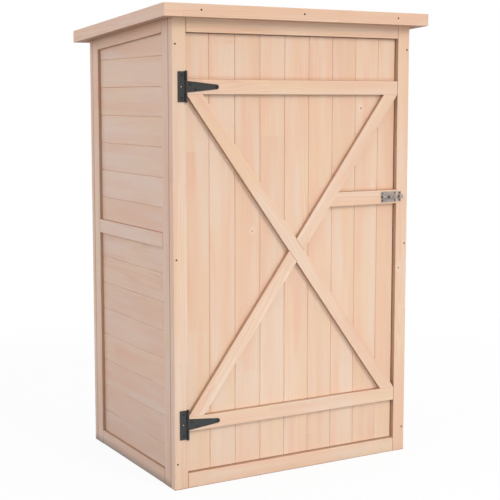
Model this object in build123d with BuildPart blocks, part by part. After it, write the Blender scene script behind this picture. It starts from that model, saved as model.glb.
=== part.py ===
from build123d import *
import math
import os

# Garden shed: a small lean-to tool shed of softwood strips and tongued boards, with one braced door.
# All sizes are in millimetres. X runs to the right, Y to the back and Z up.
# The origin is on the ground under the middle of the roof.

# Overall sizes
roof_width = 750
roof_depth = 560
roof_height = 1150  # top of the roof's front edge
roof_pitch = 3.73  # degrees, falling to the back
front_overhang = 32
back_overhang = 28
side_overhang = 35

# Roof layers, measured square to the roof
fascia_thickness = 20
fascia_height = 30
fascia_lip = 1  # fascia standing above the felt
felt_thickness = 2.5
deck_thickness = 18
deck_board_count = 6

# Framing strips
strip_width = 35
post_thickness = 22
side_thickness = 15
back_thickness = 18
sill_height = 37
header_height = 39.4  # at its front, from the opening up to the roof deck
middle_rail_height = 580  # underside of the middle rails
arris = 0.8  # eased edge along a sawn strip

# Wall boards
wall_board_thickness = 7
lower_board_pitch = 70
upper_board_pitch = 72
lower_first_joint = 95.5  # height above the ground
upper_first_joint = 94.5  # height above the middle rail's underside
narrowest_board = 15
rebate_width = 8  # how far the boards reach behind the strips
board_clearance = 0.2

# Tongue and groove joints
joint_gap = 0.4
tongue_length = 4
tongue_thickness = 2.2
tongue_clearance = 0.2
joint_chamfer = 1.4

# Floor, shelves and battens
floor_thickness = 10
floor_board_count = 6
bearer_width = 30
bearer_inset = 20  # from a side wall to the outer bearers
inside_clearance = 0.5  # room round the floor and the shelves
shelf_thickness = 12
shelf_depth = 300
shelf_board_count = 4
lower_shelf_height = 385  # top of the shelf
upper_shelf_height = 735
batten_size = 20
stop_thickness = 15
stop_height = 30
stop_overlap = 12  # how far the stop hangs into the opening

# Door
door_side_gap = 1.5
door_end_gap = 1.5
stop_clearance = 0.3
ledge_thickness = 12
top_ledge_inset = 106.5  # from the door's top to the ledge
bottom_ledge_inset = 101.5
latch_ledge_height = 681.5  # middle of the ledge above the ground
brace_width = 34
door_board_pitch = 70
door_first_joint = 64.5  # from the door's hinge side

# Hinges
pin_inset = 1  # pin axis over the post, from the post's inner edge
pin_radius = 1.7
pin_head_radius = 2.4
pin_head_height = 1.8
knuckle_radius = 3
knuckle_lift = 0.4  # air between the knuckle and the wood
pin_press_clearance = 0.02
pin_running_clearance = 0.05
knuckle_end_gap = 0.5
leaf_thickness = 2
leaf_root = 1.4  # from the pin axis to the leaf
plate_width = 20.5
plate_height = 71
plate_hole_inset = 9
strap_length = 87
strap_root_width = 27
strap_tip_width = 11
strap_near_hole = 11
strap_near_hole_rise = 5.7
strap_middle_hole = 25
strap_middle_hole_drop = 6.6
strap_tip_hole = 80

# Latch
latch_sheet = 1.2
latch_plate_length = 48
latch_plate_height = 28
latch_corner_radius = 2
latch_hole_inset = 4.5
bolt_radius = 3
bolt_length = 42
bolt_tip_chamfer = 0.8
bolt_lift = 0.3  # air between the bolt and the plate
bolt_travel = 16.5
slide_clearance = 0.08
barrel_wall = 1.2
barrel_inset = 2  # from the plate's end to the barrel
stem_radius = 1.8
stem_clearance = 0.05
stem_seat = 1  # from the bolt's axis to the foot of the stem
slot_clearance = 0.3
knob_radius = 3.6
knob_reach = 9.5  # from the bolt's axis to the middle of the knob
knob_setback = 30.5  # from the door's edge to the knob
keeper_length = 10.5
keeper_setback = 4  # from the post's inner edge to the keeper
keeper_clearance = 0.6
keeper_flange = 8.5
keeper_hole_inset = 4.2

# Screws
wood_head_radius = 2.4
wood_shank_radius = 1.5
wood_screw_length = 40
batten_screw_length = 30
hinge_head_radius = 3
hinge_shank_radius = 1.6
hinge_screw_length = 12
latch_head_radius = 2.2
latch_shank_radius = 1.3
latch_screw_length = 10
screw_clearance = 0.1
screw_tip_length = 3
screw_tip_radius = 0.3
recess_depth = 1
recess_width = 0.8
screw_foot_margin = 63  # from a post's foot to its lowest screw
screw_top_margin = 67  # from a post's top to its highest screw
middle_screw_height = 557
fascia_screw_inset = 95  # from the fascia's end to its outer screws

# Places worked out from the sizes
roof_front = -roof_depth / 2
roof_back = roof_depth / 2
body_front = roof_front + front_overhang
body_back = roof_back - back_overhang
body_half = roof_width / 2 - side_overhang
wall_front = body_front + post_thickness
wall_back = body_back - back_thickness
wall_inside = body_half - side_thickness
opening_half = body_half - strip_width
bearer_spacing = wall_inside - bearer_inset - bearer_width / 2
fascia_screw_pitch = roof_width / 2 - fascia_screw_inset
pitch_angle = math.radians(roof_pitch)
deck_half_width = roof_width / 2 - fascia_thickness
deck_front = roof_front + fascia_thickness
deck_back = roof_back - fascia_thickness
felt_depth = fascia_lip + felt_thickness
deck_depth = felt_depth + deck_thickness


def roof_z(depth, y):
    """Height at y of the plane that lies this deep under the roof's top, square to it."""
    return roof_height - (y - roof_front) * math.tan(pitch_angle) - depth / math.cos(pitch_angle)


opening_top = roof_z(deck_depth, body_front) - header_height
slope_axis = Axis((0, 0, 0), (0, math.cos(pitch_angle), -math.sin(pitch_angle)))
roof_plane = Plane(
    origin=(0, roof_front, roof_height),
    x_dir=(1, 0, 0),
    z_dir=(0, math.sin(pitch_angle), math.cos(pitch_angle)),
)
deck_underside = roof_plane.offset(-deck_depth)

door_left = -opening_half + door_side_gap
door_right = opening_half - door_side_gap
door_bottom = sill_height + door_end_gap
door_top = opening_top - door_end_gap
door_back = wall_front - stop_clearance
door_board_front = body_front + ledge_thickness
door_board_thickness = door_back - door_board_front
top_ledge_bottom = door_top - top_ledge_inset - strip_width
bottom_ledge_bottom = door_bottom + bottom_ledge_inset
bottom_ledge_top = bottom_ledge_bottom + strip_width
top_hinge_height = top_ledge_bottom + strip_width / 2
bottom_hinge_height = bottom_ledge_bottom + strip_width / 2
pin_x = -opening_half - pin_inset
pin_y = body_front - knuckle_lift - knuckle_radius

bolt_y = body_front - latch_sheet - bolt_lift - bolt_radius
bolt_z = latch_ledge_height
knob_x = door_right - knob_setback
barrel_bore = bolt_radius + slide_clearance
barrel_radius = barrel_bore + barrel_wall
latch_plate_left = door_right - latch_plate_length
keeper_left = opening_half + keeper_setback
keeper_right = keeper_left + keeper_length
keeper_hole_half = bolt_radius + keeper_clearance
keeper_half = keeper_hole_half + latch_sheet


def facing_front(x, y, z):
    """Plane that looks to the front, with its own X to the right and its own Y up."""
    return Plane(origin=(x, y, z), x_dir=(1, 0, 0), z_dir=(0, -1, 0))


def facing_back(x, y, z):
    """Plane that looks to the back, with its own Y up."""
    return Plane(origin=(x, y, z), x_dir=(-1, 0, 0), z_dir=(0, 1, 0))


def facing_side(x, y, z, side):
    """Plane that looks to the right for side 1 and to the left for side -1."""
    return Plane(origin=(x, y, z), x_dir=(0, side, 0), z_dir=(side, 0, 0))


def block(x_span, y_span, z_span, mode=Mode.ADD):
    """Add or cut a block between the given limits in the piece being made."""
    low, high = zip(sorted(x_span), sorted(y_span), sorted(z_span))
    with Locations(low):
        Box(*(b - a for a, b in zip(low, high)), align=(Align.MIN, Align.MIN, Align.MIN), mode=mode)


def bar(x_span, y_span, z_span, axis):
    """Add a sawn strip whose long edges, along the axis, are eased."""
    block(x_span, y_span, z_span)
    chamfer(edges(Select.LAST).filter_by(axis), length=arris)


def sloping_bar(x_span, y_span, depth, height):
    """Make a strip parallel to the roof: its top lies this deep under the roof's top."""
    block(x_span, y_span, (roof_z(depth + 2 * height, max(y_span)), roof_height))
    split(bisect_by=roof_plane.offset(-depth), keep=Keep.BOTTOM)
    split(bisect_by=roof_plane.offset(-depth - height), keep=Keep.TOP)
    chamfer(edges().filter_by(slope_axis), length=arris)


def joint_edges(low, high, first_joint, pitch):
    """Edges of a row of boards: both ends of the row and every joint between them."""
    count = math.floor((high - narrowest_board - first_joint) / pitch) + 1
    return [low, *(first_joint + pitch * index for index in range(count)), high]


def even_edges(low, high, count):
    """Edges of a row of boards of one width."""
    return [low + (high - low) * index / count for index in range(count + 1)]


def board_row(plane, board_edges, thickness, length):
    """Add tongued boards side by side along the plane's X, with their chamfered faces at its far Y."""
    middle = thickness / 2
    tongue = tongue_thickness / 2
    groove = tongue + tongue_clearance
    last = len(board_edges) - 2
    for index, (low_edge, high_edge) in enumerate(zip(board_edges, board_edges[1:])):
        low = low_edge + joint_gap / 2
        high = high_edge - joint_gap / 2
        outline = [(low, 0), (high, 0)]
        if index < last:
            outline += [(high, middle - tongue), (high + tongue_length, middle - tongue)]
            outline += [(high + tongue_length, middle + tongue), (high, middle + tongue)]
        outline += [(high, thickness - joint_chamfer), (high - joint_chamfer, thickness)]
        outline += [(low + joint_chamfer, thickness), (low, thickness - joint_chamfer)]
        if index > 0:
            outline += [(low, middle + groove), (low + tongue_length, middle + groove)]
            outline += [(low + tongue_length, middle - groove), (low, middle - groove)]
        with BuildSketch(plane) as section:
            with BuildLine():
                Polyline(*outline, close=True)
            make_face()
        extrude(section.sketch, amount=length)


def countersink(places, head_radius, shank_radius, depth):
    """Cut screw holes with countersunk mouths at the given planes."""
    with Locations(*places):
        CounterSinkHole(
            radius=shank_radius + screw_clearance,
            counter_sink_radius=head_radius + screw_clearance,
            depth=depth,
            counter_sink_angle=90,
        )


def drill(places, shank_radius, depth):
    """Cut plain screw holes, this deep behind the given planes."""
    with Locations(*places):
        Hole(radius=shank_radius + screw_clearance, depth=depth + screw_clearance)


def add_screws(places, head_radius, shank_radius, length):
    """Add countersunk cross-head screws, with their heads flush with the given planes."""
    top = (Align.CENTER, Align.CENTER, Align.MAX)
    shank_length = length - screw_tip_length
    with Locations(*places):
        Cylinder(shank_radius, shank_length, align=top)
        Cone(shank_radius, head_radius, head_radius - shank_radius, align=top)
        with Locations((0, 0, -shank_length)):
            Cone(screw_tip_radius, shank_radius, screw_tip_length, align=top)
        Box(head_radius, recess_width, recess_depth, align=top, mode=Mode.SUBTRACT)
        Box(recess_width, head_radius, recess_depth, align=top, mode=Mode.SUBTRACT)


def save(part, name):
    """Label a finished piece and write its file."""
    part.label = name
    export_step(part, f"parts/{name}.step")


def save_both_sides(part, name):
    """Save a left-hand piece and its mirrored twin; the name holds the word left."""
    save(part, name)
    with BuildPart() as twin:
        mirror(part, about=Plane.YZ)
    save(twin.part, name.replace("left", "right"))


# Places of the screws
post_screw_x = body_half - side_thickness / 2
front_post_top = roof_z(deck_depth, body_front)
back_post_top = roof_z(deck_depth, body_back)
front_screw_heights = (screw_foot_margin, middle_screw_height, front_post_top - screw_top_margin)
back_screw_heights = (screw_foot_margin, middle_screw_height, back_post_top - screw_top_margin)
stile_core = (strip_width - rebate_width) / 2  # middle of a stile's full-thickness part
batten_screw_ys = (wall_front + stile_core, wall_back - stile_core)
shelf_heights = (lower_shelf_height, upper_shelf_height)
deck_middle_depth = felt_depth + deck_thickness / 2


def front_screw_places(side):
    return [facing_front(side * post_screw_x, body_front, z) for z in front_screw_heights]


def back_screw_places(side):
    return [facing_back(side * post_screw_x, body_back, z) for z in back_screw_heights]


def batten_screw_places(side):
    x = side * (wall_inside - batten_size)
    shelf_zs = [height - shelf_thickness - batten_size / 2 for height in shelf_heights]
    places = [facing_side(x, y, z, -side) for y in batten_screw_ys for z in shelf_zs]
    roof_depth_there = deck_depth + batten_size / 2
    return places + [facing_side(x, y, roof_z(roof_depth_there, y), -side) for y in batten_screw_ys]


def front_fascia_screw_places():
    z = roof_z(deck_middle_depth, deck_front)
    return [facing_front(step * fascia_screw_pitch, roof_front, z) for step in (-1, 0, 1)]


def back_fascia_screw_places():
    z = roof_z(deck_middle_depth, deck_back)
    return [facing_back(step * fascia_screw_pitch, roof_back, z) for step in (-1, 0, 1)]


def plate_screw_places(height):
    x = pin_x - (plate_width + leaf_root) / 2
    rise = plate_height / 2 - plate_hole_inset
    return [facing_front(x, body_front - leaf_thickness, height + step * rise) for step in (-1, 1)]


def strap_screw_places(height):
    y = body_front - leaf_thickness
    return [
        facing_front(pin_x + strap_near_hole, y, height + strap_near_hole_rise),
        facing_front(pin_x + strap_middle_hole, y, height - strap_middle_hole_drop),
        facing_front(pin_x + strap_tip_hole, y, height),
    ]


def latch_screw_places():
    x_step = latch_plate_length / 2 - latch_hole_inset
    z_step = latch_plate_height / 2 - latch_hole_inset
    x_middle = latch_plate_left + latch_plate_length / 2
    y = body_front - latch_sheet
    return [facing_front(x_middle + i * x_step, y, bolt_z + k * z_step) for i in (-1, 1) for k in (-1, 1)]


def keeper_screw_places():
    x = (keeper_left + keeper_right) / 2
    z_step = keeper_half + keeper_flange - keeper_hole_inset
    return [facing_front(x, body_front - latch_sheet, bolt_z + step * z_step) for step in (-1, 1)]


hinge_heights = (top_hinge_height, bottom_hinge_height)
all_plate_screws = [place for height in hinge_heights for place in plate_screw_places(height)]
all_strap_screws = [place for height in hinge_heights for place in strap_screw_places(height)]

os.makedirs("parts", exist_ok=True)

# Front frame
for side, post_name in ((-1, "front_post_left"), (1, "front_post_right")):
    with BuildPart() as front_post:
        bar((side * opening_half, side * body_half), (body_front, wall_front), (0, roof_height), Axis.Z)
        split(bisect_by=deck_underside, keep=Keep.BOTTOM)
        countersink(front_screw_places(side), wood_head_radius, wood_shank_radius, post_thickness)
        if side < 0:
            drill(all_plate_screws, hinge_shank_radius, hinge_screw_length)
        else:
            drill(keeper_screw_places(), latch_shank_radius, latch_screw_length)
    save(front_post.part, post_name)

with BuildPart() as front_header:
    bar((-opening_half, opening_half), (body_front, wall_front), (opening_top, roof_height), Axis.X)
    split(bisect_by=deck_underside, keep=Keep.BOTTOM)
save(front_header.part, "front_header")

with BuildPart() as front_sill:
    bar((-opening_half, opening_half), (body_front, wall_front), (0, sill_height), Axis.X)
save(front_sill.part, "front_sill")

# Side walls: the left one, and the right one as its mirror image
wall_x = (-body_half, -wall_inside)
rebate_x = (-wall_inside - wall_board_thickness - board_clearance, -wall_inside + 1)
front_stile_inner = wall_front + strip_width
back_stile_inner = wall_back - strip_width
rail_y = (front_stile_inner, back_stile_inner)
middle_rail_top = middle_rail_height + strip_width

with BuildPart() as front_stile:
    bar(wall_x, (wall_front, front_stile_inner), (0, roof_height), Axis.Z)
    split(bisect_by=deck_underside, keep=Keep.BOTTOM)
    block(rebate_x, (front_stile_inner - rebate_width, front_stile_inner), (0, roof_height), Mode.SUBTRACT)
    drill(front_screw_places(-1), wood_shank_radius, wood_screw_length)
    drill(batten_screw_places(-1), wood_shank_radius, batten_screw_length)
save_both_sides(front_stile.part, "left_wall_front_stile")

with BuildPart() as back_stile:
    bar(wall_x, (back_stile_inner, wall_back), (0, roof_height), Axis.Z)
    split(bisect_by=deck_underside, keep=Keep.BOTTOM)
    block(rebate_x, (back_stile_inner, back_stile_inner + rebate_width), (0, roof_height), Mode.SUBTRACT)
    drill(back_screw_places(-1), wood_shank_radius, wood_screw_length)
    drill(batten_screw_places(-1), wood_shank_radius, batten_screw_length)
save_both_sides(back_stile.part, "left_wall_back_stile")

with BuildPart() as bottom_rail:
    bar(wall_x, rail_y, (0, sill_height), Axis.Y)
    block(rebate_x, rail_y, (sill_height - rebate_width, sill_height), Mode.SUBTRACT)
save_both_sides(bottom_rail.part, "left_wall_bottom_rail")

with BuildPart() as middle_rail:
    bar(wall_x, rail_y, (middle_rail_height, middle_rail_top), Axis.Y)
    block(rebate_x, rail_y, (middle_rail_height, middle_rail_height + rebate_width), Mode.SUBTRACT)
    block(rebate_x, rail_y, (middle_rail_top - rebate_width, middle_rail_top), Mode.SUBTRACT)
save_both_sides(middle_rail.part, "left_wall_middle_rail")

with BuildPart() as top_rail:
    sloping_bar(wall_x, rail_y, deck_depth, strip_width)
    with BuildSketch(Plane.YZ.offset(rebate_x[0])) as top_rebate:
        with BuildLine():
            Polyline(
                (rail_y[0], roof_z(deck_depth + strip_width + arris, rail_y[0])),
                (rail_y[1], roof_z(deck_depth + strip_width + arris, rail_y[1])),
                (rail_y[1], roof_z(deck_depth + strip_width - rebate_width, rail_y[1])),
                (rail_y[0], roof_z(deck_depth + strip_width - rebate_width, rail_y[0])),
                close=True,
            )
        make_face()
    extrude(amount=side_thickness, mode=Mode.SUBTRACT)
save_both_sides(top_rail.part, "left_wall_top_rail")

lower_field = joint_edges(
    sill_height - rebate_width + board_clearance,
    middle_rail_height + rebate_width - board_clearance,
    lower_first_joint,
    lower_board_pitch,
)
upper_field_bottom = middle_rail_top - rebate_width + board_clearance
upper_joint = middle_rail_height + upper_first_joint
top_board_depth = deck_depth + strip_width - rebate_width + board_clearance
side_board_front = front_stile_inner - rebate_width + board_clearance
side_board_back = back_stile_inner + rebate_width - board_clearance
side_upper_top = roof_z(top_board_depth, side_board_front)
side_upper_field = joint_edges(upper_field_bottom, side_upper_top, upper_joint, upper_board_pitch)

with BuildPart() as side_boards:
    side_board_plane = Plane(
        origin=(-wall_inside, side_board_back, 0), x_dir=(0, 0, 1), z_dir=(0, -1, 0)
    )
    board_row(side_board_plane, lower_field, wall_board_thickness, side_board_back - side_board_front)
    board_row(side_board_plane, side_upper_field, wall_board_thickness, side_board_back - side_board_front)
    split(bisect_by=roof_plane.offset(-top_board_depth), keep=Keep.BOTTOM)
save_both_sides(side_boards.part, "left_wall_boards")

# Back wall
back_y = (wall_back, body_back)
back_rebate_y = (wall_back - 1, wall_back + wall_board_thickness + board_clearance)
back_rail_x = (-opening_half, opening_half)
back_rail_top = roof_z(deck_depth, body_back)
back_rail_bottom = back_rail_top - strip_width
back_rebate_top = back_rail_bottom + rebate_width

with BuildPart() as back_left_stile:
    bar((-body_half, -opening_half), back_y, (0, roof_height), Axis.Z)
    split(bisect_by=deck_underside, keep=Keep.BOTTOM)
    block((-opening_half - rebate_width, -opening_half), back_rebate_y, (0, roof_height), Mode.SUBTRACT)
    countersink(back_screw_places(-1), wood_head_radius, wood_shank_radius, back_thickness)
save_both_sides(back_left_stile.part, "back_wall_left_stile")

with BuildPart() as back_bottom_rail:
    bar(back_rail_x, back_y, (0, sill_height), Axis.X)
    block(back_rail_x, back_rebate_y, (sill_height - rebate_width, sill_height), Mode.SUBTRACT)
save(back_bottom_rail.part, "back_wall_bottom_rail")

with BuildPart() as back_middle_rail:
    bar(back_rail_x, back_y, (middle_rail_height, middle_rail_top), Axis.X)
    block(back_rail_x, back_rebate_y, (middle_rail_height, middle_rail_height + rebate_width), Mode.SUBTRACT)
    block(back_rail_x, back_rebate_y, (middle_rail_top - rebate_width, middle_rail_top), Mode.SUBTRACT)
save(back_middle_rail.part, "back_wall_middle_rail")

with BuildPart() as back_top_rail:
    bar(back_rail_x, back_y, (back_rail_bottom, roof_height), Axis.X)
    split(bisect_by=deck_underside, keep=Keep.BOTTOM)
    block(back_rail_x, back_rebate_y, (back_rail_bottom, back_rebate_top), Mode.SUBTRACT)
save(back_top_rail.part, "back_wall_top_rail")

back_upper_field = joint_edges(
    upper_field_bottom, back_rebate_top - board_clearance, upper_joint, upper_board_pitch
)
back_board_half = opening_half + rebate_width - board_clearance

with BuildPart() as back_boards:
    back_board_plane = Plane(origin=(back_board_half, wall_back, 0), x_dir=(0, 0, 1), z_dir=(-1, 0, 0))
    board_row(back_board_plane, lower_field, wall_board_thickness, 2 * back_board_half)
    board_row(back_board_plane, back_upper_field, wall_board_thickness, 2 * back_board_half)
save(back_boards.part, "back_wall_boards")

# Floor
bearer_height = sill_height - floor_thickness
inside_half = wall_inside - inside_clearance

with BuildPart() as floor_bearers:
    for step in (-1, 0, 1):
        bearer_x = step * bearer_spacing
        bearer_span = (bearer_x - bearer_width / 2, bearer_x + bearer_width / 2)
        bar(bearer_span, (wall_front, wall_back), (0, bearer_height), Axis.Y)
save(floor_bearers.part, "floor_bearers")

with BuildPart() as floor_boards:
    floor_plane = Plane(origin=(-inside_half, 0, bearer_height), x_dir=(0, 1, 0), z_dir=(1, 0, 0))
    floor_edges = even_edges(wall_front + inside_clearance, wall_back - inside_clearance, floor_board_count)
    board_row(floor_plane, floor_edges, floor_thickness, 2 * inside_half)
save(floor_boards.part, "floor_boards")

# Shelves on their battens
with BuildPart() as shelf_battens:
    for side in (-1, 1):
        for height in shelf_heights:
            batten_top = height - shelf_thickness
            batten_x = (side * (wall_inside - batten_size), side * wall_inside)
            bar(batten_x, (wall_front, wall_back), (batten_top - batten_size, batten_top), Axis.Y)
        countersink(batten_screw_places(side), wood_head_radius, wood_shank_radius, batten_size)
save(shelf_battens.part, "shelf_battens")

shelf_back = wall_back - inside_clearance
shelf_edges = even_edges(shelf_back - shelf_depth, shelf_back, shelf_board_count)
for height, shelf_name in ((lower_shelf_height, "lower_shelf"), (upper_shelf_height, "upper_shelf")):
    with BuildPart() as shelf:
        shelf_plane = Plane(
            origin=(-inside_half, 0, height - shelf_thickness), x_dir=(0, 1, 0), z_dir=(1, 0, 0)
        )
        board_row(shelf_plane, shelf_edges, shelf_thickness, 2 * inside_half)
    save(shelf.part, shelf_name)

# Strip behind the header that the door closes against
with BuildPart() as door_stop:
    stop_z = (opening_top - stop_overlap, opening_top - stop_overlap + stop_height)
    bar((-opening_half, opening_half), (wall_front, wall_front + stop_thickness), stop_z, Axis.X)
save(door_stop.part, "door_stop")

# Roof: battens, boarded deck, felt, and four mitred fascias
with BuildPart() as roof_battens:
    sloping_bar((-wall_inside, -wall_inside + batten_size), (wall_front, wall_back), deck_depth, batten_size)
    countersink(batten_screw_places(-1), wood_head_radius, wood_shank_radius, batten_size)
    mirror(about=Plane.YZ)
save(roof_battens.part, "roof_battens")

deck_run = (deck_back - deck_front) / math.cos(pitch_angle)
deck_lean = deck_thickness * math.tan(pitch_angle)

with BuildPart() as roof_deck:
    deck_top_plane = Plane(
        origin=(deck_half_width, deck_front, roof_z(felt_depth, deck_front)),
        x_dir=slope_axis.direction,
        z_dir=(-1, 0, 0),
    )
    deck_edges = even_edges(-deck_lean, deck_run + deck_lean, deck_board_count)
    board_row(deck_top_plane, deck_edges, deck_thickness, 2 * deck_half_width)
    block(
        (-deck_half_width, deck_half_width),
        (deck_front, deck_back),
        (0, roof_height),
        Mode.INTERSECT,
    )
    drill(front_fascia_screw_places(), wood_shank_radius, wood_screw_length)
    drill(back_fascia_screw_places(), wood_shank_radius, wood_screw_length)
save(roof_deck.part, "roof_deck")

with BuildPart() as roof_felt:
    block((-deck_half_width, deck_half_width), (deck_front, deck_back), (0, roof_height))
    split(bisect_by=roof_plane.offset(-fascia_lip), keep=Keep.BOTTOM)
    split(bisect_by=roof_plane.offset(-felt_depth), keep=Keep.TOP)
save(roof_felt.part, "roof_felt")


def cut_to_fascia():
    """Cut an upright piece between the roof's top and the fascia's lower edge."""
    split(bisect_by=roof_plane, keep=Keep.BOTTOM)
    split(bisect_by=roof_plane.offset(-fascia_height), keep=Keep.TOP)


with BuildPart() as front_fascia:
    with BuildSketch():
        with BuildLine():
            Polyline(
                (-roof_width / 2, roof_front),
                (roof_width / 2, roof_front),
                (deck_half_width, deck_front),
                (-deck_half_width, deck_front),
                close=True,
            )
        make_face()
    extrude(amount=roof_height)
    cut_to_fascia()
    countersink(front_fascia_screw_places(), wood_head_radius, wood_shank_radius, fascia_thickness)
save(front_fascia.part, "front_fascia")

with BuildPart() as back_fascia:
    with BuildSketch():
        with BuildLine():
            Polyline(
                (-roof_width / 2, roof_back),
                (roof_width / 2, roof_back),
                (deck_half_width, deck_back),
                (-deck_half_width, deck_back),
                close=True,
            )
        make_face()
    extrude(amount=roof_height)
    cut_to_fascia()
    countersink(back_fascia_screw_places(), wood_head_radius, wood_shank_radius, fascia_thickness)
save(back_fascia.part, "back_fascia")

with BuildPart() as left_fascia:
    with BuildSketch():
        with BuildLine():
            Polyline(
                (-roof_width / 2, roof_front),
                (-deck_half_width, deck_front),
                (-deck_half_width, deck_back),
                (-roof_width / 2, roof_back),
                close=True,
            )
        make_face()
    extrude(amount=roof_height)
    cut_to_fascia()
save_both_sides(left_fascia.part, "left_fascia")

# Door boards
with BuildPart() as door_boards:
    door_plane = Plane(origin=(0, door_back, door_top), x_dir=(1, 0, 0), z_dir=(0, 0, -1))
    door_edges = joint_edges(door_left, door_right, door_left + door_first_joint, door_board_pitch)
    board_row(door_plane, door_edges, door_board_thickness, door_top - door_bottom)
save(door_boards.part, "door_boards")

# Door ledges
ledge_y = (body_front, door_board_front)
with BuildPart() as top_ledge:
    bar((door_left, door_right), ledge_y, (top_ledge_bottom, top_ledge_bottom + strip_width), Axis.X)
    drill(strap_screw_places(top_hinge_height), hinge_shank_radius, hinge_screw_length)
save(top_ledge.part, "door_top_ledge")

with BuildPart() as bottom_ledge:
    bar((door_left, door_right), ledge_y, (bottom_ledge_bottom, bottom_ledge_top), Axis.X)
    drill(strap_screw_places(bottom_hinge_height), hinge_shank_radius, hinge_screw_length)
save(bottom_ledge.part, "door_bottom_ledge")

# Door braces: each diagonal runs from corner to corner of the field between the two main ledges.
# The length of a brace's level end cut follows from its width and the field it fits into.
field_width = door_right - door_left
field_height = top_ledge_bottom - bottom_ledge_top
field_diagonal = math.sqrt(field_height**2 + field_width**2 - brace_width**2)
brace_cut = (
    brace_width
    * (field_height * field_diagonal - brace_width * field_width)
    / (field_height**2 - brace_width**2)
)
brace_run = (field_width - brace_cut) / field_height  # sideways run for each unit of height
brace_plane = facing_front(0, door_board_front, 0)
top_left = (door_left, top_ledge_bottom)
top_right = (door_right, top_ledge_bottom)
bottom_left = (door_left, bottom_ledge_top)
bottom_right = (door_right, bottom_ledge_top)
long_top = (door_left + brace_cut, top_ledge_bottom)
long_bottom = (door_right - brace_cut, bottom_ledge_top)
cross_top = (door_right - brace_cut, top_ledge_bottom)
cross_bottom = (door_left + brace_cut, bottom_ledge_top)

with BuildPart() as long_brace:
    with BuildSketch(brace_plane):
        with BuildLine():
            Polyline(top_left, long_top, bottom_right, long_bottom, close=True)
        make_face()
    extrude(amount=ledge_thickness)
save(long_brace.part, "door_long_brace")

for corners, brace_name in (
    ((long_top, bottom_right, top_right), "door_upper_brace"),
    ((top_left, long_bottom, bottom_left), "door_lower_brace"),
):
    with BuildPart() as short_brace:
        with BuildSketch(brace_plane):
            with BuildLine():
                Polyline(bottom_left, cross_bottom, top_right, cross_top, close=True)
            make_face()
            with BuildLine():
                Polyline(*corners, close=True)
            make_face(mode=Mode.INTERSECT)
        extrude(amount=ledge_thickness)
    save(short_brace.part, brace_name)

latch_ledge_bottom = latch_ledge_height - strip_width / 2
latch_ledge_top = latch_ledge_height + strip_width / 2


def cross_brace_x(z):
    """Lower edge of the upper short brace at this height."""
    return cross_bottom[0] + brace_run * (z - bottom_ledge_top)


with BuildPart() as latch_ledge:
    with BuildSketch(brace_plane):
        with BuildLine():
            Polyline(
                (cross_brace_x(latch_ledge_bottom), latch_ledge_bottom),
                (door_right, latch_ledge_bottom),
                (door_right, latch_ledge_top),
                (cross_brace_x(latch_ledge_top), latch_ledge_top),
                close=True,
            )
        make_face()
    extrude(amount=ledge_thickness)
    drill(latch_screw_places(), latch_shank_radius, latch_screw_length)
save(latch_ledge.part, "door_latch_ledge")

# T-hinges: plate on the post, strap on the door's ledge, and the pin through both
strap_knuckle_half = strap_root_width / 2
plate_knuckle_start = strap_knuckle_half + knuckle_end_gap
plate_half = plate_height / 2
knuckle_length = plate_half - plate_knuckle_start
leaf_back = body_front
pin_length = plate_height + 2 * pin_head_height

for height, hinge_name in ((top_hinge_height, "top_hinge"), (bottom_hinge_height, "bottom_hinge")):
    with BuildPart() as hinge_plate:
        block(
            (pin_x - plate_width, pin_x - leaf_root),
            (leaf_back - leaf_thickness, leaf_back),
            (height - plate_half, height + plate_half),
        )
        block(
            (pin_x - knuckle_radius - knuckle_end_gap, pin_x),
            (leaf_back - leaf_thickness, leaf_back),
            (height - plate_knuckle_start, height + plate_knuckle_start),
            Mode.SUBTRACT,
        )
        with Locations(
            (pin_x, pin_y, height + plate_knuckle_start + knuckle_length / 2),
            (pin_x, pin_y, height - plate_knuckle_start - knuckle_length / 2),
        ):
            Cylinder(knuckle_radius, knuckle_length)
        with Locations((pin_x, pin_y, height)):
            Cylinder(pin_radius + pin_press_clearance, plate_height, mode=Mode.SUBTRACT)
        plate_places = plate_screw_places(height)
        spare_hole = facing_front(plate_places[0].origin.X, body_front - leaf_thickness, height)
        countersink([*plate_places, spare_hole], hinge_head_radius, hinge_shank_radius, leaf_thickness)
    save(hinge_plate.part, f"{hinge_name}_plate")

    with BuildPart() as hinge_strap:
        with BuildSketch(facing_front(pin_x, body_front, height)):
            with Locations((leaf_root, 0)):
                Rectangle(leaf_root, strap_root_width, align=(Align.MIN, Align.CENTER))
            with Locations((strap_length - strap_tip_width / 2, 0)):
                Circle(strap_tip_width / 2)
            make_hull()
        extrude(amount=leaf_thickness)
        with Locations((pin_x, pin_y, height)):
            Cylinder(knuckle_radius, strap_root_width)
            Cylinder(pin_radius + pin_running_clearance, strap_root_width, mode=Mode.SUBTRACT)
        countersink(strap_screw_places(height), hinge_head_radius, hinge_shank_radius, leaf_thickness)
    save(hinge_strap.part, f"{hinge_name}_strap")

    with BuildPart() as hinge_pin:
        with Locations((pin_x, pin_y, height)):
            Cylinder(pin_radius, pin_length)
        with Locations(
            (pin_x, pin_y, height + plate_half + pin_head_height / 2),
            (pin_x, pin_y, height - plate_half - pin_head_height / 2),
        ):
            Cylinder(pin_head_radius, pin_head_height)
    save(hinge_pin.part, f"{hinge_name}_pin")

# Barrel bolt: plate with its slotted barrel, sliding bolt, knob, and keeper on the post
barrel_left = latch_plate_left + barrel_inset
barrel_length = latch_plate_length - 2 * barrel_inset
slot_half = stem_radius + slot_clearance

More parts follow.
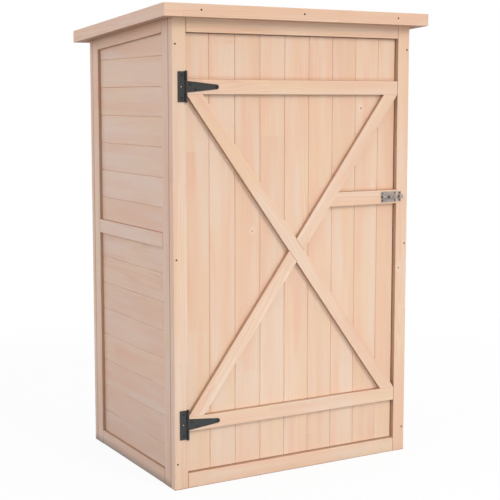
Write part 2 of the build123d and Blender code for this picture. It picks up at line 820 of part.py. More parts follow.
with BuildPart() as latch_plate:
    with BuildSketch(facing_front(latch_plate_left + latch_plate_length / 2, body_front, bolt_z)):
        RectangleRounded(latch_plate_length, latch_plate_height, latch_corner_radius)
    extrude(amount=latch_sheet)
    with BuildSketch(facing_side(barrel_left, bolt_y, bolt_z, 1)):
        Circle(barrel_radius)
    extrude(amount=barrel_length)
    with BuildSketch(facing_side(barrel_left, bolt_y, bolt_z, 1)):
        Circle(barrel_bore)
    extrude(amount=barrel_length, mode=Mode.SUBTRACT)
    block(
        (knob_x - slot_half, knob_x + bolt_travel + slot_half),
        (bolt_y - 2 * barrel_radius, bolt_y),
        (bolt_z - slot_half, bolt_z + slot_half),
        Mode.SUBTRACT,
    )
    countersink(latch_screw_places(), latch_head_radius, latch_shank_radius, latch_sheet)
save(latch_plate.part, "latch_plate")

stem_foot = facing_front(knob_x, bolt_y - stem_seat, bolt_z)

with BuildPart() as latch_bolt:
    with BuildSketch(facing_side(door_right - bolt_length, bolt_y, bolt_z, 1)):
        Circle(bolt_radius)
    extrude(amount=bolt_length)
    chamfer(edges().filter_by(GeomType.CIRCLE), length=bolt_tip_chamfer)
    with BuildSketch(stem_foot):
        Circle(stem_radius + stem_clearance)
    extrude(amount=bolt_radius, mode=Mode.SUBTRACT)
save(latch_bolt.part, "latch_bolt")

with BuildPart() as latch_knob:
    with BuildSketch(stem_foot):
        Circle(stem_radius)
    extrude(amount=knob_reach - stem_seat)
    with Locations((knob_x, bolt_y - knob_reach, bolt_z)):
        Sphere(knob_radius)
save(latch_knob.part, "latch_knob")

keeper_front = bolt_y - keeper_hole_half - latch_sheet
keeper_x = (keeper_left, keeper_right)

with BuildPart() as latch_keeper:
    keeper_z = (bolt_z - keeper_half - keeper_flange, bolt_z + keeper_half + keeper_flange)
    block(keeper_x, (body_front - latch_sheet, body_front), keeper_z)
    block(keeper_x, (keeper_front, body_front), (bolt_z - keeper_half, bolt_z + keeper_half))
    block(
        keeper_x,
        (keeper_front + latch_sheet, body_front - latch_sheet),
        (bolt_z - keeper_hole_half, bolt_z + keeper_hole_half),
        Mode.SUBTRACT,
    )
    countersink(keeper_screw_places(), latch_head_radius, latch_shank_radius, latch_sheet)
save(latch_keeper.part, "latch_keeper")

# Screws, each kind in its own group
with BuildPart() as wall_screws:
    for side in (-1, 1):
        wall_places = front_screw_places(side) + back_screw_places(side)
        add_screws(wall_places, wood_head_radius, wood_shank_radius, wood_screw_length)
save(wall_screws.part, "wall_screws")

with BuildPart() as fascia_screws:
    fascia_places = front_fascia_screw_places() + back_fascia_screw_places()
    add_screws(fascia_places, wood_head_radius, wood_shank_radius, wood_screw_length)
save(fascia_screws.part, "fascia_screws")

with BuildPart() as batten_screws:
    for side in (-1, 1):
        add_screws(batten_screw_places(side), wood_head_radius, wood_shank_radius, batten_screw_length)
save(batten_screws.part, "batten_screws")

with BuildPart() as hinge_plate_screws:
    add_screws(all_plate_screws, hinge_head_radius, hinge_shank_radius, hinge_screw_length)
save(hinge_plate_screws.part, "hinge_plate_screws")

with BuildPart() as hinge_strap_screws:
    add_screws(all_strap_screws, hinge_head_radius, hinge_shank_radius, hinge_screw_length)
save(hinge_strap_screws.part, "hinge_strap_screws")

with BuildPart() as latch_screws:
    add_screws(latch_screw_places(), latch_head_radius, latch_shank_radius, latch_screw_length)
save(latch_screws.part, "latch_screws")

with BuildPart() as keeper_screws:
    add_screws(keeper_screw_places(), latch_head_radius, latch_shank_radius, latch_screw_length)
save(keeper_screws.part, "keeper_screws")
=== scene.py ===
import math
from collections import namedtuple

import bpy
from mathutils import Euler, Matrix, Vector


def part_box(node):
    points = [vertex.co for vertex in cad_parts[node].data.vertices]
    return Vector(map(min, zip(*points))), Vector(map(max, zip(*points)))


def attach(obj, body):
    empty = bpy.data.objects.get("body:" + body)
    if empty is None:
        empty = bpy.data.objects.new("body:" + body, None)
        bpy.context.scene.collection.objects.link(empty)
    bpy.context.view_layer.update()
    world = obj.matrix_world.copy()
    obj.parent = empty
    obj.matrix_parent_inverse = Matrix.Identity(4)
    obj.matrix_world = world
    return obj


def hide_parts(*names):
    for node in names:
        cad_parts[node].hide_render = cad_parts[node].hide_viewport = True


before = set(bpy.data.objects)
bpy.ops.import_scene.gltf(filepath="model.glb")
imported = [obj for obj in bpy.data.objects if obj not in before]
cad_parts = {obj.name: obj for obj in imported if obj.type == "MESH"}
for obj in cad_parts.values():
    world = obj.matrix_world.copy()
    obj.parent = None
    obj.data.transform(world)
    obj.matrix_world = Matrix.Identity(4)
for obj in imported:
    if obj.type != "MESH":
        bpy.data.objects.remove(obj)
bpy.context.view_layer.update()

bl_info = {
    "name": "Garden shed finishes",
    "version": (1, 0, 0),
    "blender": (4, 5, 0),
    "location": "View3D > Sidebar > Shed",
    "description": "Gives a small boarded garden shed its timber, felt, fittings and studio stage",
    "category": "Object",
}

# Every length is in metres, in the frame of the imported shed: X to the right, Y to the back, Z up.
MM = 0.001
X, Y, Z = range(3)
LONG = 2.0  # further than any of the shed's timbers reaches


def from_srgb(red, green, blue):
    """Linear colour of an 8-bit screen colour."""
    levels = (red / 255, green / 255, blue / 255)
    return tuple(x / 12.92 if x <= 0.04045 else ((x + 0.055) / 1.055) ** 2.4 for x in levels)


def colour_field(title, about, default):
    return bpy.props.FloatVectorProperty(
        name=title, description=about, subtype="COLOR", size=3, min=0, max=1, default=default
    )


def length_field(title, about, default):
    return bpy.props.FloatProperty(
        name=title, description=about, unit="LENGTH", precision=4, min=0, default=default
    )


def share_field(title, about, default):
    return bpy.props.FloatProperty(
        name=title, description=about, subtype="FACTOR", min=0, max=1, default=default
    )


def angle_field(title, about, degrees):
    return bpy.props.FloatProperty(
        name=title, description=about, subtype="ANGLE", default=math.radians(degrees)
    )


def power_field(title, about, watts):
    return bpy.props.FloatProperty(name=title, description=about, subtype="POWER", min=0, default=watts)


class TimberSettings(bpy.types.PropertyGroup):
    pale: colour_field("Pale wood", "Colour of the palest bands", from_srgb(240, 212, 189))
    warm: colour_field("Warm wood", "Colour of the pinkish bands", from_srgb(239, 199, 170))
    honey: colour_field("Honey wood", "Colour of the yellowish pieces", from_srgb(240, 208, 173))
    flush: colour_field("Flushed wood", "Colour of the scattered pink streaks", from_srgb(239, 186, 158))
    late: colour_field("Late wood", "Colour of the dark side of a growth ring", from_srgb(214, 163, 127))
    knot: colour_field("Knot", "Colour of a knot's heart", from_srgb(152, 102, 74))
    # Painted shade on the narrow sides that face into recesses or downwards
    sawn_tone: colour_field("Painted side shade", "Share of its colour that a sawn side keeps", (0.65, 0.6, 0.56))
    # Also darkens the painted shade lines along rail tops and beside the door's ledges
    seam_tone: colour_field("Seams and shade lines", "Share of its colour that a butt joint keeps", (0.64, 0.5, 0.42))
    # Painted shade at the feet of the walls, darker towards the ground
    damp_tone: colour_field("Damp foot", "Share of its colour that soaked wood keeps", (0.0, 0.08, 0.15))
    ring_spacing: length_field("Ring spacing", "Distance between growth rings", 2.6 * MM)
    ring_contrast: share_field("Ring contrast", "How dark the late wood is", 0.28)
    piece_length: length_field("Piece length", "Length of the pieces of a finger-jointed plank", 430 * MM)
    tone_spread: share_field("Tone spread", "Difference in tone from plank to plank", 0.03)
    knot_share: share_field("Knots", "Share of the places that hold a knot", 0.16)
    fibre_depth: length_field("Fibre depth", "Depth of the planed fibres", 0.35 * MM)
    lot: bpy.props.IntProperty(name="Lot", description="Stack that the planks come from", min=0, default=2)


class FittingSettings(bpy.types.PropertyGroup):
    coat: colour_field("Hinge coat", "Colour of the hinges' black coat", from_srgb(30, 30, 29))
    zinc: colour_field("Zinc", "Colour of the plated latch", from_srgb(179, 166, 159))
    zinc_shine: share_field("Zinc shine", "How metallic the dull plating still is", 0.25)
    # Painted shade on the sides of the latch's knob
    knob_shade: colour_field("Knob shade", "Colour of the oily sides of the latch's knob", from_srgb(52, 42, 36))
    screw: colour_field("Screws", "Colour of the dark screws", from_srgb(86, 70, 56))
    hinge_screw: colour_field("Hinge screws", "Colour of the blackened screws", from_srgb(56, 51, 48))


class RoofSettings(bpy.types.PropertyGroup):
    felt: colour_field("Felt", "Ground colour of the roofing felt", from_srgb(66, 69, 68))
    grit: colour_field("Grit", "Colour of the paler mineral grains", from_srgb(132, 136, 132))
    pitch: angle_field("Pitch", "Fall of the roof to the back", 3.73)
    lap: length_field("Lap", "How far the front course laps over the back one", 65 * MM)
    course_thickness: length_field("Felt thickness", "Thickness of one course", 2.2 * MM)
    nail_pitch: length_field("Nail pitch", "Distance between nails along an edge", 75 * MM)
    nail_radius: length_field("Nail radius", "Radius of a nail's head", 4.2 * MM)


class StageSettings(bpy.types.PropertyGroup):
    floor: colour_field("Floor", "Colour of the floor as it is seen", (0.95, 0.95, 0.95))
    floor_bounce: colour_field("Floor bounce", "Colour of the light off the floor", (0.3, 0.3, 0.3))
    shadow_reach: length_field("Shadow reach", "How far from the shed the floor shows its shadow", 2.2)
    floor_size: length_field("Floor size", "Width of the floor", 24.0)
    sky: colour_field("Sky", "Colour of the light from the sides and the back", (0.865, 0.89, 1.0))
    front_sky: colour_field("Front sky", "Colour of the light from the front", (0.38, 0.365, 0.37))
    sky_strength: bpy.props.FloatProperty(
        name="Sky strength", description="Strength of the light from the horizon", min=0, default=2.08
    )
    zenith: share_field("Zenith", "Share of the horizon's light that comes from straight above", 0.35)
    key: colour_field("Key", "Colour of the large lamp", (1.0, 0.93, 0.83))
    key_power: power_field("Key power", "Power of the large lamp", 135)
    key_width: length_field("Key width", "Width of the large lamp", 1.6)
    key_height: length_field("Key height", "Height of the large lamp", 2.8)
    fill: colour_field("Fill", "Colour of the low lamp in front", (0.76, 0.92, 1.0))
    fill_power: power_field("Fill power", "Power of the low lamp in front", 5.4)
    fill_width: length_field("Fill width", "Width of the low lamp in front", 1.4)
    fill_height: length_field("Fill height", "Height of the low lamp in front", 0.25)
    lens: bpy.props.FloatProperty(
        name="Lens", description="Focal length on a 36 mm sensor", subtype="DISTANCE_CAMERA", default=83.576
    )
    camera_shift: bpy.props.FloatProperty(
        name="Shift", description="Upward shift of the picture's frame", default=-0.04
    )
    camera_turn: angle_field("Turn", "Camera's turn to the right", 29.718)
    camera_tilt: angle_field("Tilt", "Camera's tilt down from level", 6.393)


# Node helpers


def wire(tree, socket, value):
    """Link a socket to an output, or set the socket's own value."""
    if isinstance(value, bpy.types.NodeSocket):
        tree.links.new(value, socket)
    elif socket.type == "RGBA" and len(value) == 3:
        socket.default_value = (*value, 1)
    else:
        socket.default_value = value


def wire_all(tree, node, **values):
    """Wire sockets by name; an underscore in a keyword stands for a space."""
    for title, value in values.items():
        wire(tree, node.inputs[title.replace("_", " ")], value)


def new_node(tree, kind, *values, **choices):
    """Add a node, make its choices, and wire its first sockets in their order."""
    made = tree.nodes.new("ShaderNode" + kind)
    for title, choice in choices.items():
        setattr(made, title, choice)
    for socket, value in zip(made.inputs, values):
        wire(tree, socket, value)
    return made


def maths(tree, operation, *values):
    return new_node(tree, "Math", *values, operation=operation).outputs[0]


def vectors(tree, operation, *values):
    made = new_node(tree, "VectorMath", *values, operation=operation)
    return made.outputs["Value" if operation == "LENGTH" else "Vector"]


def scaled(tree, vector, amount):
    made = new_node(tree, "VectorMath", vector, operation="SCALE")
    wire_all(tree, made, Scale=amount)
    return made.outputs["Vector"]


def split(tree, vector):
    return new_node(tree, "SeparateXYZ", vector).outputs


def joined(tree, x, y, z):
    return new_node(tree, "CombineXYZ", x, y, z).outputs[0]


def mixed(tree, factor, first, second, blend="MIX"):
    made = new_node(tree, "Mix", factor, data_type="RGBA", blend_type=blend)
    wire(tree, made.inputs[6], first)
    wire(tree, made.inputs[7], second)
    return made.outputs[2]


def eased(tree, value, low, high, start=0.0, end=1.0):
    """Smooth step from start to end as a value goes from low to high."""
    made = new_node(tree, "MapRange", value, low, high, start, end, interpolation_type="SMOOTHSTEP")
    return made.outputs[0]


def varied(tree, value, spread):
    """A share that goes half the spread below and above 1 as a value goes from 0 to 1."""
    return maths(tree, "MULTIPLY_ADD", value, spread, 1 - spread / 2)


def noise(tree, vector, stretch, detail=2.0):
    """Noise with its own scale along each axis, in cycles to the metre."""
    made = new_node(tree, "TexNoise")
    wire_all(tree, made, Vector=vectors(tree, "MULTIPLY", vector, stretch), Scale=1.0, Detail=detail)
    return made.outputs[0]


def new_group(name, inputs, outputs):
    """A group with its sockets, listed by kind: its tree, what it is given and its output node."""
    tree = bpy.data.node_groups.new(name, "ShaderNodeTree")
    for in_out, kinds in (("INPUT", inputs), ("OUTPUT", outputs)):
        for kind, titles in kinds.items():
            for title in titles:
                tree.interface.new_socket(name=title, in_out=in_out, socket_type="NodeSocket" + kind)
    return tree, tree.nodes.new("NodeGroupInput").outputs, tree.nodes.new("NodeGroupOutput")


GROUPS = {}


def use_group(tree, make, **values):
    """Place a shared group, which its function makes the first time that it is wanted."""
    if make not in GROUPS:
        GROUPS[make] = make()
    made = new_node(tree, "Group", node_tree=GROUPS[make])
    wire_all(tree, made, **values)
    return made.outputs


# Shared surface groups

SKIN = {"Color": ["Colour"], "Float": ["Roughness", "Height"]}
UPPER_FIELD_STEP = 37.0  # from a plank's number in a wall's lower field to its number in the upper one


def plank_row_group():
    """Which plank of a row a point is on, and how far it is from the nearest joint."""
    tree, given, result = new_group(
        "Plank row",
        {"Float": ["Across", "Pitch", "First", "Split", "Upper Pitch", "Upper First"]},
        {"Float": ["Plank", "Joint"]},
    )
    upper = maths(tree, "GREATER_THAN", given["Across"], given["Split"])
    lower = maths(tree, "SUBTRACT", 1.0, upper)

    def either(low, high):
        return maths(tree, "MULTIPLY_ADD", upper, high, maths(tree, "MULTIPLY", lower, low))

    pitch = either(given["Pitch"], given["Upper Pitch"])
    first = either(given["First"], given["Upper First"])
    steps = maths(tree, "DIVIDE", maths(tree, "SUBTRACT", given["Across"], first), pitch)
    plank = maths(tree, "MULTIPLY_ADD", upper, UPPER_FIELD_STEP, maths(tree, "FLOOR", steps))
    off_middle = maths(tree, "ABSOLUTE", maths(tree, "SUBTRACT", maths(tree, "FRACT", steps), 0.5))
    joint = maths(tree, "MULTIPLY", maths(tree, "SUBTRACT", 0.5, off_middle), pitch)
    wire_all(tree, result, Plank=plank, Joint=joint)
    return tree


def arris_group():
    """Distances from a point on a squared timber to its nearest edge and to its butt joints."""
    tree, given, result = new_group(
        "Arris",
        {
            "Vector": ["Vector", "Half Size", "Low Open", "High Open"],
            "Float": ["Joint", "Seam Reach", "Seam Slant"],
        },
        {"Float": ["Edge", "Seam"]},
    )
    inside = vectors(tree, "SUBTRACT", given["Half Size"], vectors(tree, "ABSOLUTE", given["Vector"]))
    across, through, along = split(tree, inside)
    across = maths(tree, "MINIMUM", across, given["Joint"])
    nearer = maths(tree, "MINIMUM", across, through)
    further = maths(tree, "MAXIMUM", across, through)
    edge = maths(tree, "MAXIMUM", nearer, maths(tree, "MINIMUM", further, along))

    from_low = vectors(tree, "ADD", given["Half Size"], given["Vector"])
    from_low = vectors(tree, "ADD", from_low, given["Low Open"])
    to_high = vectors(tree, "SUBTRACT", given["Half Size"], given["Vector"])
    to_high = vectors(tree, "ADD", to_high, given["High Open"])
    across, through, along = split(tree, vectors(tree, "MINIMUM", from_low, to_high))
    seam = maths(tree, "MINIMUM", maths(tree, "MINIMUM", across, through), along)
    spot_across, _, spot_along = split(tree, given["Vector"])
    slant = maths(tree, "MULTIPLY", spot_across, given["Seam Slant"])
    slanted = maths(tree, "SUBTRACT", spot_along, slant)
    past = maths(tree, "SUBTRACT", maths(tree, "ABSOLUTE", slanted), given["Seam Reach"])
    seam = maths(tree, "ADD", seam, maths(tree, "MAXIMUM", past, 0.0))
    wire_all(tree, result, Edge=edge, Seam=seam)
    return tree


# Fields of the timber's settings that the wood takes as they are
WOOD_COLOURS = ("pale", "warm", "honey", "flush", "late", "knot", "sawn_tone", "seam_tone", "damp_tone")
WOOD_MEASURES = ("piece_length", "ring_spacing", "ring_contrast", "tone_spread", "knot_share")

# Noise in the wood, in cycles to the metre across the face, through the plank and along the grain
WANDER = (8.0, 8.0, 0.9)
CROWDING = (62.0, 62.0, 0.7)
BANDS = (27.0, 27.0, 2.6)
HONEY = (15.0, 15.0, 3.4)
FLUSH = (26.0, 26.0, 2.5)
STREAKS = (170.0, 170.0, 3.0)
FIBRES = (1300.0, 1300.0, 22.0)

# Where in the log a plank and its pieces are drawn from, and where its heart lies
DRAW_MIDDLE = (0.5, 0.5, 0.5)
DRAW_SPREAD = (0.7, 0.7, 7.0)
PITH_SPREAD = (0.11, 0.05, 0.0)
PITH_DEPTH = (0.0, 0.05, 0.0)
ACROSS_GRAIN = (1.0, 1.0, 0.0)

# Knots: places for them to the metre, their shape, and where heart and halo fade, in radii
KNOTS_ACROSS = 11.0
KNOTS_ALONG = 3.2
KNOT_STRETCH = 1.35
KNOT_RADIUS = 1.4 * MM
KNOT_RADIUS_SPREAD = 2.0 * MM
HEART_FADE = (0.55, 1.15)
HALO_FADE = (0.8, 4.5)

# Growth rings: how far they are bent, and the part of a ring that is late wood
WANDER_BEND = 36 * MM
CROWDING_BEND = 8 * MM
KNOT_BEND = 5 * MM
LATE_RISE = (0.35, 0.9)
LATE_END = (0.92, 1.0)
LATE_DEPTH = (0.9, 0.35)  # what the streaks add to it, and the least

# Colours: where in its noise each shows, how far a piece's draw moves that, and how strong it gets
BAND_EDGES = (0.3, 0.68)
BAND_DRAW = 0.1
HONEY_EDGES = (0.44, 0.72)
HONEY_DRAW = 0.12
HONEY_SHARE = 0.65
FLUSH_EDGES = (0.56, 0.76)
FLUSH_SHARE = 0.48
STREAK_TONE = 0.08
FIBRE_TONE = 0.06
HALO_PALING = (1.05, 1.07, 1.1)
HALO_SHARE = 0.6
HEART_SHARE = 0.7

# Ends, sides, edges and joints; a face counts as an end or a side by how squarely it looks that way
FACING_FROM = 0.6
FACING_FULL = 0.9
END_GRAIN_SHARE = 0.45
EDGE_UNEVENNESS = 1.5 * MM
# Paler eased edges: wear, and a painted highlight along the arrises
EDGE_WEAR_AND_HIGHLIGHT = (0.3 * MM, 1.7 * MM)
EDGE_PALING = (1.06, 1.08, 1.1)
EDGE_SHARE = 0.6
SEAM_WIDTH = (1.0 * MM, 2.4 * MM)

# Painted shade at the foot of a wall: how high the broad darkening and the contact shade reach, and how
# strongly
BROAD_SHADE_HEIGHT = 300 * MM
BROAD_SHADE_SHARE = 0.1
CONTACT_SHADE_HEIGHT = 24 * MM
CONTACT_SHADE_SHARE = 0.42

WOOD_ROUGHNESS = (0.12, 0.54)  # what the fibres add, and the least
KNOT_POLISH = -0.12
RING_RELIEF = 0.3
FIBRE_RELIEF = 0.7


def softwood_group():
    """Planed fir: X runs across the face, Y through the plank and Z along the grain."""
    own_values = ["Plank", "Edge", "Seam", "Low Side", "High Side", "Above Ground", "Damp"]
    tree, given, result = new_group(
        "Softwood",
        {
            "Vector": ["Vector", "Normal"],
            "Float": own_values + [title.replace("_", " ").title() for title in WOOD_MEASURES],
            "Color": [title.replace("_", " ").title() for title in WOOD_COLOURS],
        },
        SKIN,
    )

    def drawn(white_noise):
        """The three draws of a plank or piece, and the place in the log that they give it."""
        lots = vectors(tree, "SUBTRACT", white_noise.outputs["Color"], DRAW_MIDDLE)
        return lots, vectors(tree, "ADD", given["Vector"], vectors(tree, "MULTIPLY", lots, DRAW_SPREAD))

    # Each plank has its own bands, and is finger-jointed from pieces with grain of their own
    plank_draw = new_node(tree, "TexWhiteNoise", noise_dimensions="1D")
    wire_all(tree, plank_draw, W=given["Plank"])
    _, plank_spot = drawn(plank_draw)
    steps = maths(tree, "DIVIDE", split(tree, plank_spot)[Z], given["Piece Length"])
    piece = joined(tree, given["Plank"], maths(tree, "FLOOR", steps), 0.0)
    piece_draw = new_node(tree, "TexWhiteNoise", noise_dimensions="2D")
    wire_all(tree, piece_draw, Vector=piece)
    lots, spot = drawn(piece_draw)
    spot_x, _, spot_z = split(tree, spot)

    # Knots stand at scattered places on the face and run through the plank
    cell_x = maths(tree, "MULTIPLY", spot_x, KNOTS_ACROSS)
    cell_z = maths(tree, "MULTIPLY", spot_z, KNOTS_ALONG)
    knot_cells = joined(tree, cell_x, cell_z, 0.0)
    cells = new_node(tree, "TexVoronoi", voronoi_dimensions="2D")
    wire_all(tree, cells, Vector=knot_cells, Scale=1.0)
    away = vectors(tree, "SUBTRACT", knot_cells, cells.outputs["Position"])
    cell_size = (1 / KNOTS_ACROSS, 1 / KNOTS_ALONG / KNOT_STRETCH, 0.0)
    away = vectors(tree, "LENGTH", vectors(tree, "MULTIPLY", away, cell_size))
    chance, size, _ = split(tree, cells.outputs["Color"])
    there = maths(tree, "LESS_THAN", chance, given["Knot Share"])
    radius = maths(tree, "MULTIPLY_ADD", size, KNOT_RADIUS_SPREAD, KNOT_RADIUS)
    from_heart = maths(tree, "DIVIDE", away, radius)
    heart = maths(tree, "MULTIPLY", there, eased(tree, from_heart, *HEART_FADE, 1.0, 0.0))
    halo = maths(tree, "MULTIPLY", there, eased(tree, from_heart, *HALO_FADE, 1.0, 0.0))

    # Growth rings round the log's heart, bent by slow wander and by the knots
    pith = vectors(tree, "ADD", vectors(tree, "MULTIPLY", lots, PITH_SPREAD), PITH_DEPTH)
    from_pith = vectors(tree, "MULTIPLY", vectors(tree, "ADD", given["Vector"], pith), ACROSS_GRAIN)
    wander = maths(tree, "SUBTRACT", noise(tree, spot, WANDER), 0.5)
    crowd = maths(tree, "SUBTRACT", noise(tree, spot, CROWDING), 0.5)
    ring_radius = maths(tree, "MULTIPLY_ADD", wander, WANDER_BEND, vectors(tree, "LENGTH", from_pith))
    ring_radius = maths(tree, "MULTIPLY_ADD", crowd, CROWDING_BEND, ring_radius)
    ring_radius = maths(tree, "MULTIPLY_ADD", halo, KNOT_BEND, ring_radius)
    ring = maths(tree, "FRACT", maths(tree, "DIVIDE", ring_radius, given["Ring Spacing"]))
    late = maths(tree, "MULTIPLY", eased(tree, ring, *LATE_RISE), eased(tree, ring, *LATE_END, 1.0, 0.0))

    # Bands run through a plank's pieces, but each piece has its own warmth, yellow and lightness
    warmth, yellow, lightness = split(tree, lots)
    band = maths(tree, "MULTIPLY_ADD", warmth, BAND_DRAW, noise(tree, plank_spot, BANDS))
    honey = maths(tree, "MULTIPLY_ADD", yellow, HONEY_DRAW, noise(tree, plank_spot, HONEY, detail=3.0))
    flush = noise(tree, spot, FLUSH)
    streak = noise(tree, spot, STREAKS)
    fibre = noise(tree, spot, FIBRES, detail=1.0)
    colour = mixed(tree, eased(tree, band, *BAND_EDGES), given["Pale"], given["Warm"])
    colour = mixed(tree, eased(tree, honey, *HONEY_EDGES, 0.0, HONEY_SHARE), colour, given["Honey"])
    colour = mixed(tree, eased(tree, flush, *FLUSH_EDGES, 0.0, FLUSH_SHARE), colour, given["Flush"])
    depth = maths(tree, "MULTIPLY_ADD", streak, *LATE_DEPTH)
    depth = maths(tree, "MULTIPLY", given["Ring Contrast"], depth)
    colour = mixed(tree, maths(tree, "MULTIPLY", late, depth), colour, given["Late"])
    tone = maths(tree, "MULTIPLY_ADD", lightness, given["Tone Spread"], 1.0)
    tone = maths(tree, "MULTIPLY", tone, varied(tree, streak, STREAK_TONE))
    tone = maths(tree, "MULTIPLY", tone, varied(tree, fibre, FIBRE_TONE))
    colour = scaled(tree, colour, tone)
    pale_halo = vectors(tree, "MULTIPLY", given["Pale"], HALO_PALING)
    colour = mixed(tree, maths(tree, "MULTIPLY", halo, HALO_SHARE), colour, pale_halo)
    colour = mixed(tree, maths(tree, "MULTIPLY", heart, HEART_SHARE), colour, given["Knot"])

    # Cut ends drink the light, and eased edges are a little paler: partly wear, partly a painted highlight
    # where a rounded arris catches the light
    sideways, _, endways = split(tree, given["Normal"])
    endways = maths(tree, "ABSOLUTE", endways)
    end_grain = eased(tree, endways, FACING_FROM, FACING_FULL, 0.0, END_GRAIN_SHARE)
    colour = mixed(tree, end_grain, colour, given["Late"])
    uneven = maths(tree, "SUBTRACT", streak, 0.5)
    uneven = maths(tree, "MULTIPLY_ADD", uneven, EDGE_UNEVENNESS, given["Edge"])
    worn_and_highlit = eased(tree, uneven, *EDGE_WEAR_AND_HIGHLIGHT, EDGE_SHARE, 0.0)
    colour = mixed(tree, worn_and_highlit, colour, vectors(tree, "MULTIPLY", colour, EDGE_PALING))

    # Narrow sides get painted shade, and a butt joint is a thin dark line; the same line also paints the
    # shade along a timber in front of the face
    low_side = eased(tree, sideways, -FACING_FULL, -FACING_FROM, 1.0, 0.0)
    low_side = maths(tree, "MULTIPLY", low_side, given["Low Side"])
    high_side = eased(tree, sideways, FACING_FROM, FACING_FULL)
    high_side = maths(tree, "MULTIPLY", high_side, given["High Side"])
    side_shade = maths(tree, "MAXIMUM", low_side, high_side)
    colour = mixed(tree, side_shade, colour, given["Sawn Tone"], "MULTIPLY")
    seam = eased(tree, given["Seam"], *SEAM_WIDTH, 1.0, 0.0)
    colour = mixed(tree, seam, colour, given["Seam Tone"], "MULTIPLY")

    # Painted shade at the foot of a wall: darker towards the bottom, most of all just above the ground
    broad_shade = eased(tree, given["Above Ground"], 0.0, BROAD_SHADE_HEIGHT, BROAD_SHADE_SHARE, 0.0)
    contact_shade = eased(tree, given["Above Ground"], 0.0, CONTACT_SHADE_HEIGHT, CONTACT_SHADE_SHARE, 0.0)
    foot_shade = maths(tree, "MULTIPLY", maths(tree, "ADD", broad_shade, contact_shade), given["Damp"])
    colour = mixed(tree, foot_shade, colour, given["Damp Tone"], "MULTIPLY")

    rough = maths(tree, "MULTIPLY_ADD", fibre, *WOOD_ROUGHNESS)
    rough = maths(tree, "MULTIPLY_ADD", heart, KNOT_POLISH, rough)
    height = maths(tree, "MULTIPLY_ADD", late, RING_RELIEF, maths(tree, "MULTIPLY", fibre, FIBRE_RELIEF))
    wire_all(tree, result, Colour=colour, Roughness=rough, Height=height)
    return tree


# Metal and felt: noise in cycles to the metre, spreads of tone, and what a noise adds with the least
COAT_PEEL = (900.0, 900.0, 900.0)
COAT_CLOUDS = (70.0, 70.0, 70.0)
COAT_PEEL_TONE = 0.3
COAT_CLOUD_TONE = 0.5
COAT_ROUGHNESS = (0.25, 0.36)
DRAWN_LINES = (60.0, 1800.0, 1800.0)
DRAWN_LINE_TONE = (0.24, 0.78)
ZINC_BLOOM = (120.0, 120.0, 120.0)
ZINC_BLOOM_TONE = 0.9
ZINC_ROUGHNESS = (0.3, 0.2)
GRIT_GRAINS = 620.0
GRIT_PATCHES = (9.0, 9.0, 9.0)
GRIT_EDGES = (0.2, 0.7)
THIN_GRIT = 0.45
GROUND_TONE = 0.6
GRAIN_HEIGHT = (0.6, 0.4)


def coat_group():
    """Baked coat on steel: a fine orange-peel skin with slight dulling."""
    tree, given, result = new_group("Baked coat", {"Vector": ["Vector"], "Color": ["Tint"]}, SKIN)
    peel = noise(tree, given["Vector"], COAT_PEEL)
    cloud = noise(tree, given["Vector"], COAT_CLOUDS, detail=3.0)
    tone = varied(tree, cloud, COAT_CLOUD_TONE)
    tone = maths(tree, "MULTIPLY", tone, varied(tree, peel, COAT_PEEL_TONE))
    rough = maths(tree, "MULTIPLY_ADD", cloud, *COAT_ROUGHNESS)
    wire_all(tree, result, Colour=scaled(tree, given["Tint"], tone), Roughness=rough, Height=peel)
    return tree


def plated_group():
    """Drawn and plated steel: fine lines along X under a cloudy bloom."""
    tree, given, result = new_group("Plated steel", {"Vector": ["Vector"], "Color": ["Tint"]}, SKIN)
    lines = noise(tree, given["Vector"], DRAWN_LINES)
    bloom = noise(tree, given["Vector"], ZINC_BLOOM, detail=3.0)
    tone = maths(tree, "MULTIPLY_ADD", lines, *DRAWN_LINE_TONE)
    tone = maths(tree, "MULTIPLY", tone, varied(tree, bloom, ZINC_BLOOM_TONE))
    rough = maths(tree, "MULTIPLY_ADD", bloom, *ZINC_ROUGHNESS)
    wire_all(tree, result, Colour=scaled(tree, given["Tint"], tone), Roughness=rough, Height=lines)
    return tree


def felt_group():
    """Mineral felt: pale grit in a dark ground, thinner in patches."""
    tree, given, result = new_group(
        "Mineral felt",
        {"Vector": ["Vector"], "Color": ["Ground", "Grit"]},
        {"Color": ["Colour"], "Float": ["Height"]},
    )
    grains = new_node(tree, "TexVoronoi")
    wire_all(tree, grains, Vector=given["Vector"], Scale=GRIT_GRAINS)
    pick = split(tree, grains.outputs["Color"])[0]
    patch = noise(tree, given["Vector"], GRIT_PATCHES, detail=4.0)
    shown = maths(tree, "MULTIPLY", pick, pick)
    shown = maths(tree, "MULTIPLY", shown, eased(tree, patch, *GRIT_EDGES, THIN_GRIT, 1.0))
    ground = scaled(tree, given["Ground"], varied(tree, patch, GROUND_TONE))
    dome = maths(tree, "SUBTRACT", 1.0, grains.outputs["Distance"])
    height = maths(tree, "MULTIPLY", dome, maths(tree, "MULTIPLY_ADD", pick, *GRAIN_HEIGHT))
    wire_all(tree, result, Colour=mixed(tree, shown, ground, given["Grit"]), Height=height)
    return tree


# Materials

WOOD_GLOSS = 0.3
WOOD_BUMP = 0.5
SKIN_BUMP = 0.4
COAT_RELIEF = 0.12 * MM
PLATED_RELIEF = 0.05 * MM
KNOB_SHADE_FACING = (-0.94, -0.72)  # how squarely a knob's face looks forward where it keeps the plating's colour, and where it gets painted shade
FELT_ROUGHNESS = 0.93
FELT_GLOSS = 0.25
FELT_BUMP = 0.7
GRIT_RELIEF = 0.6 * MM

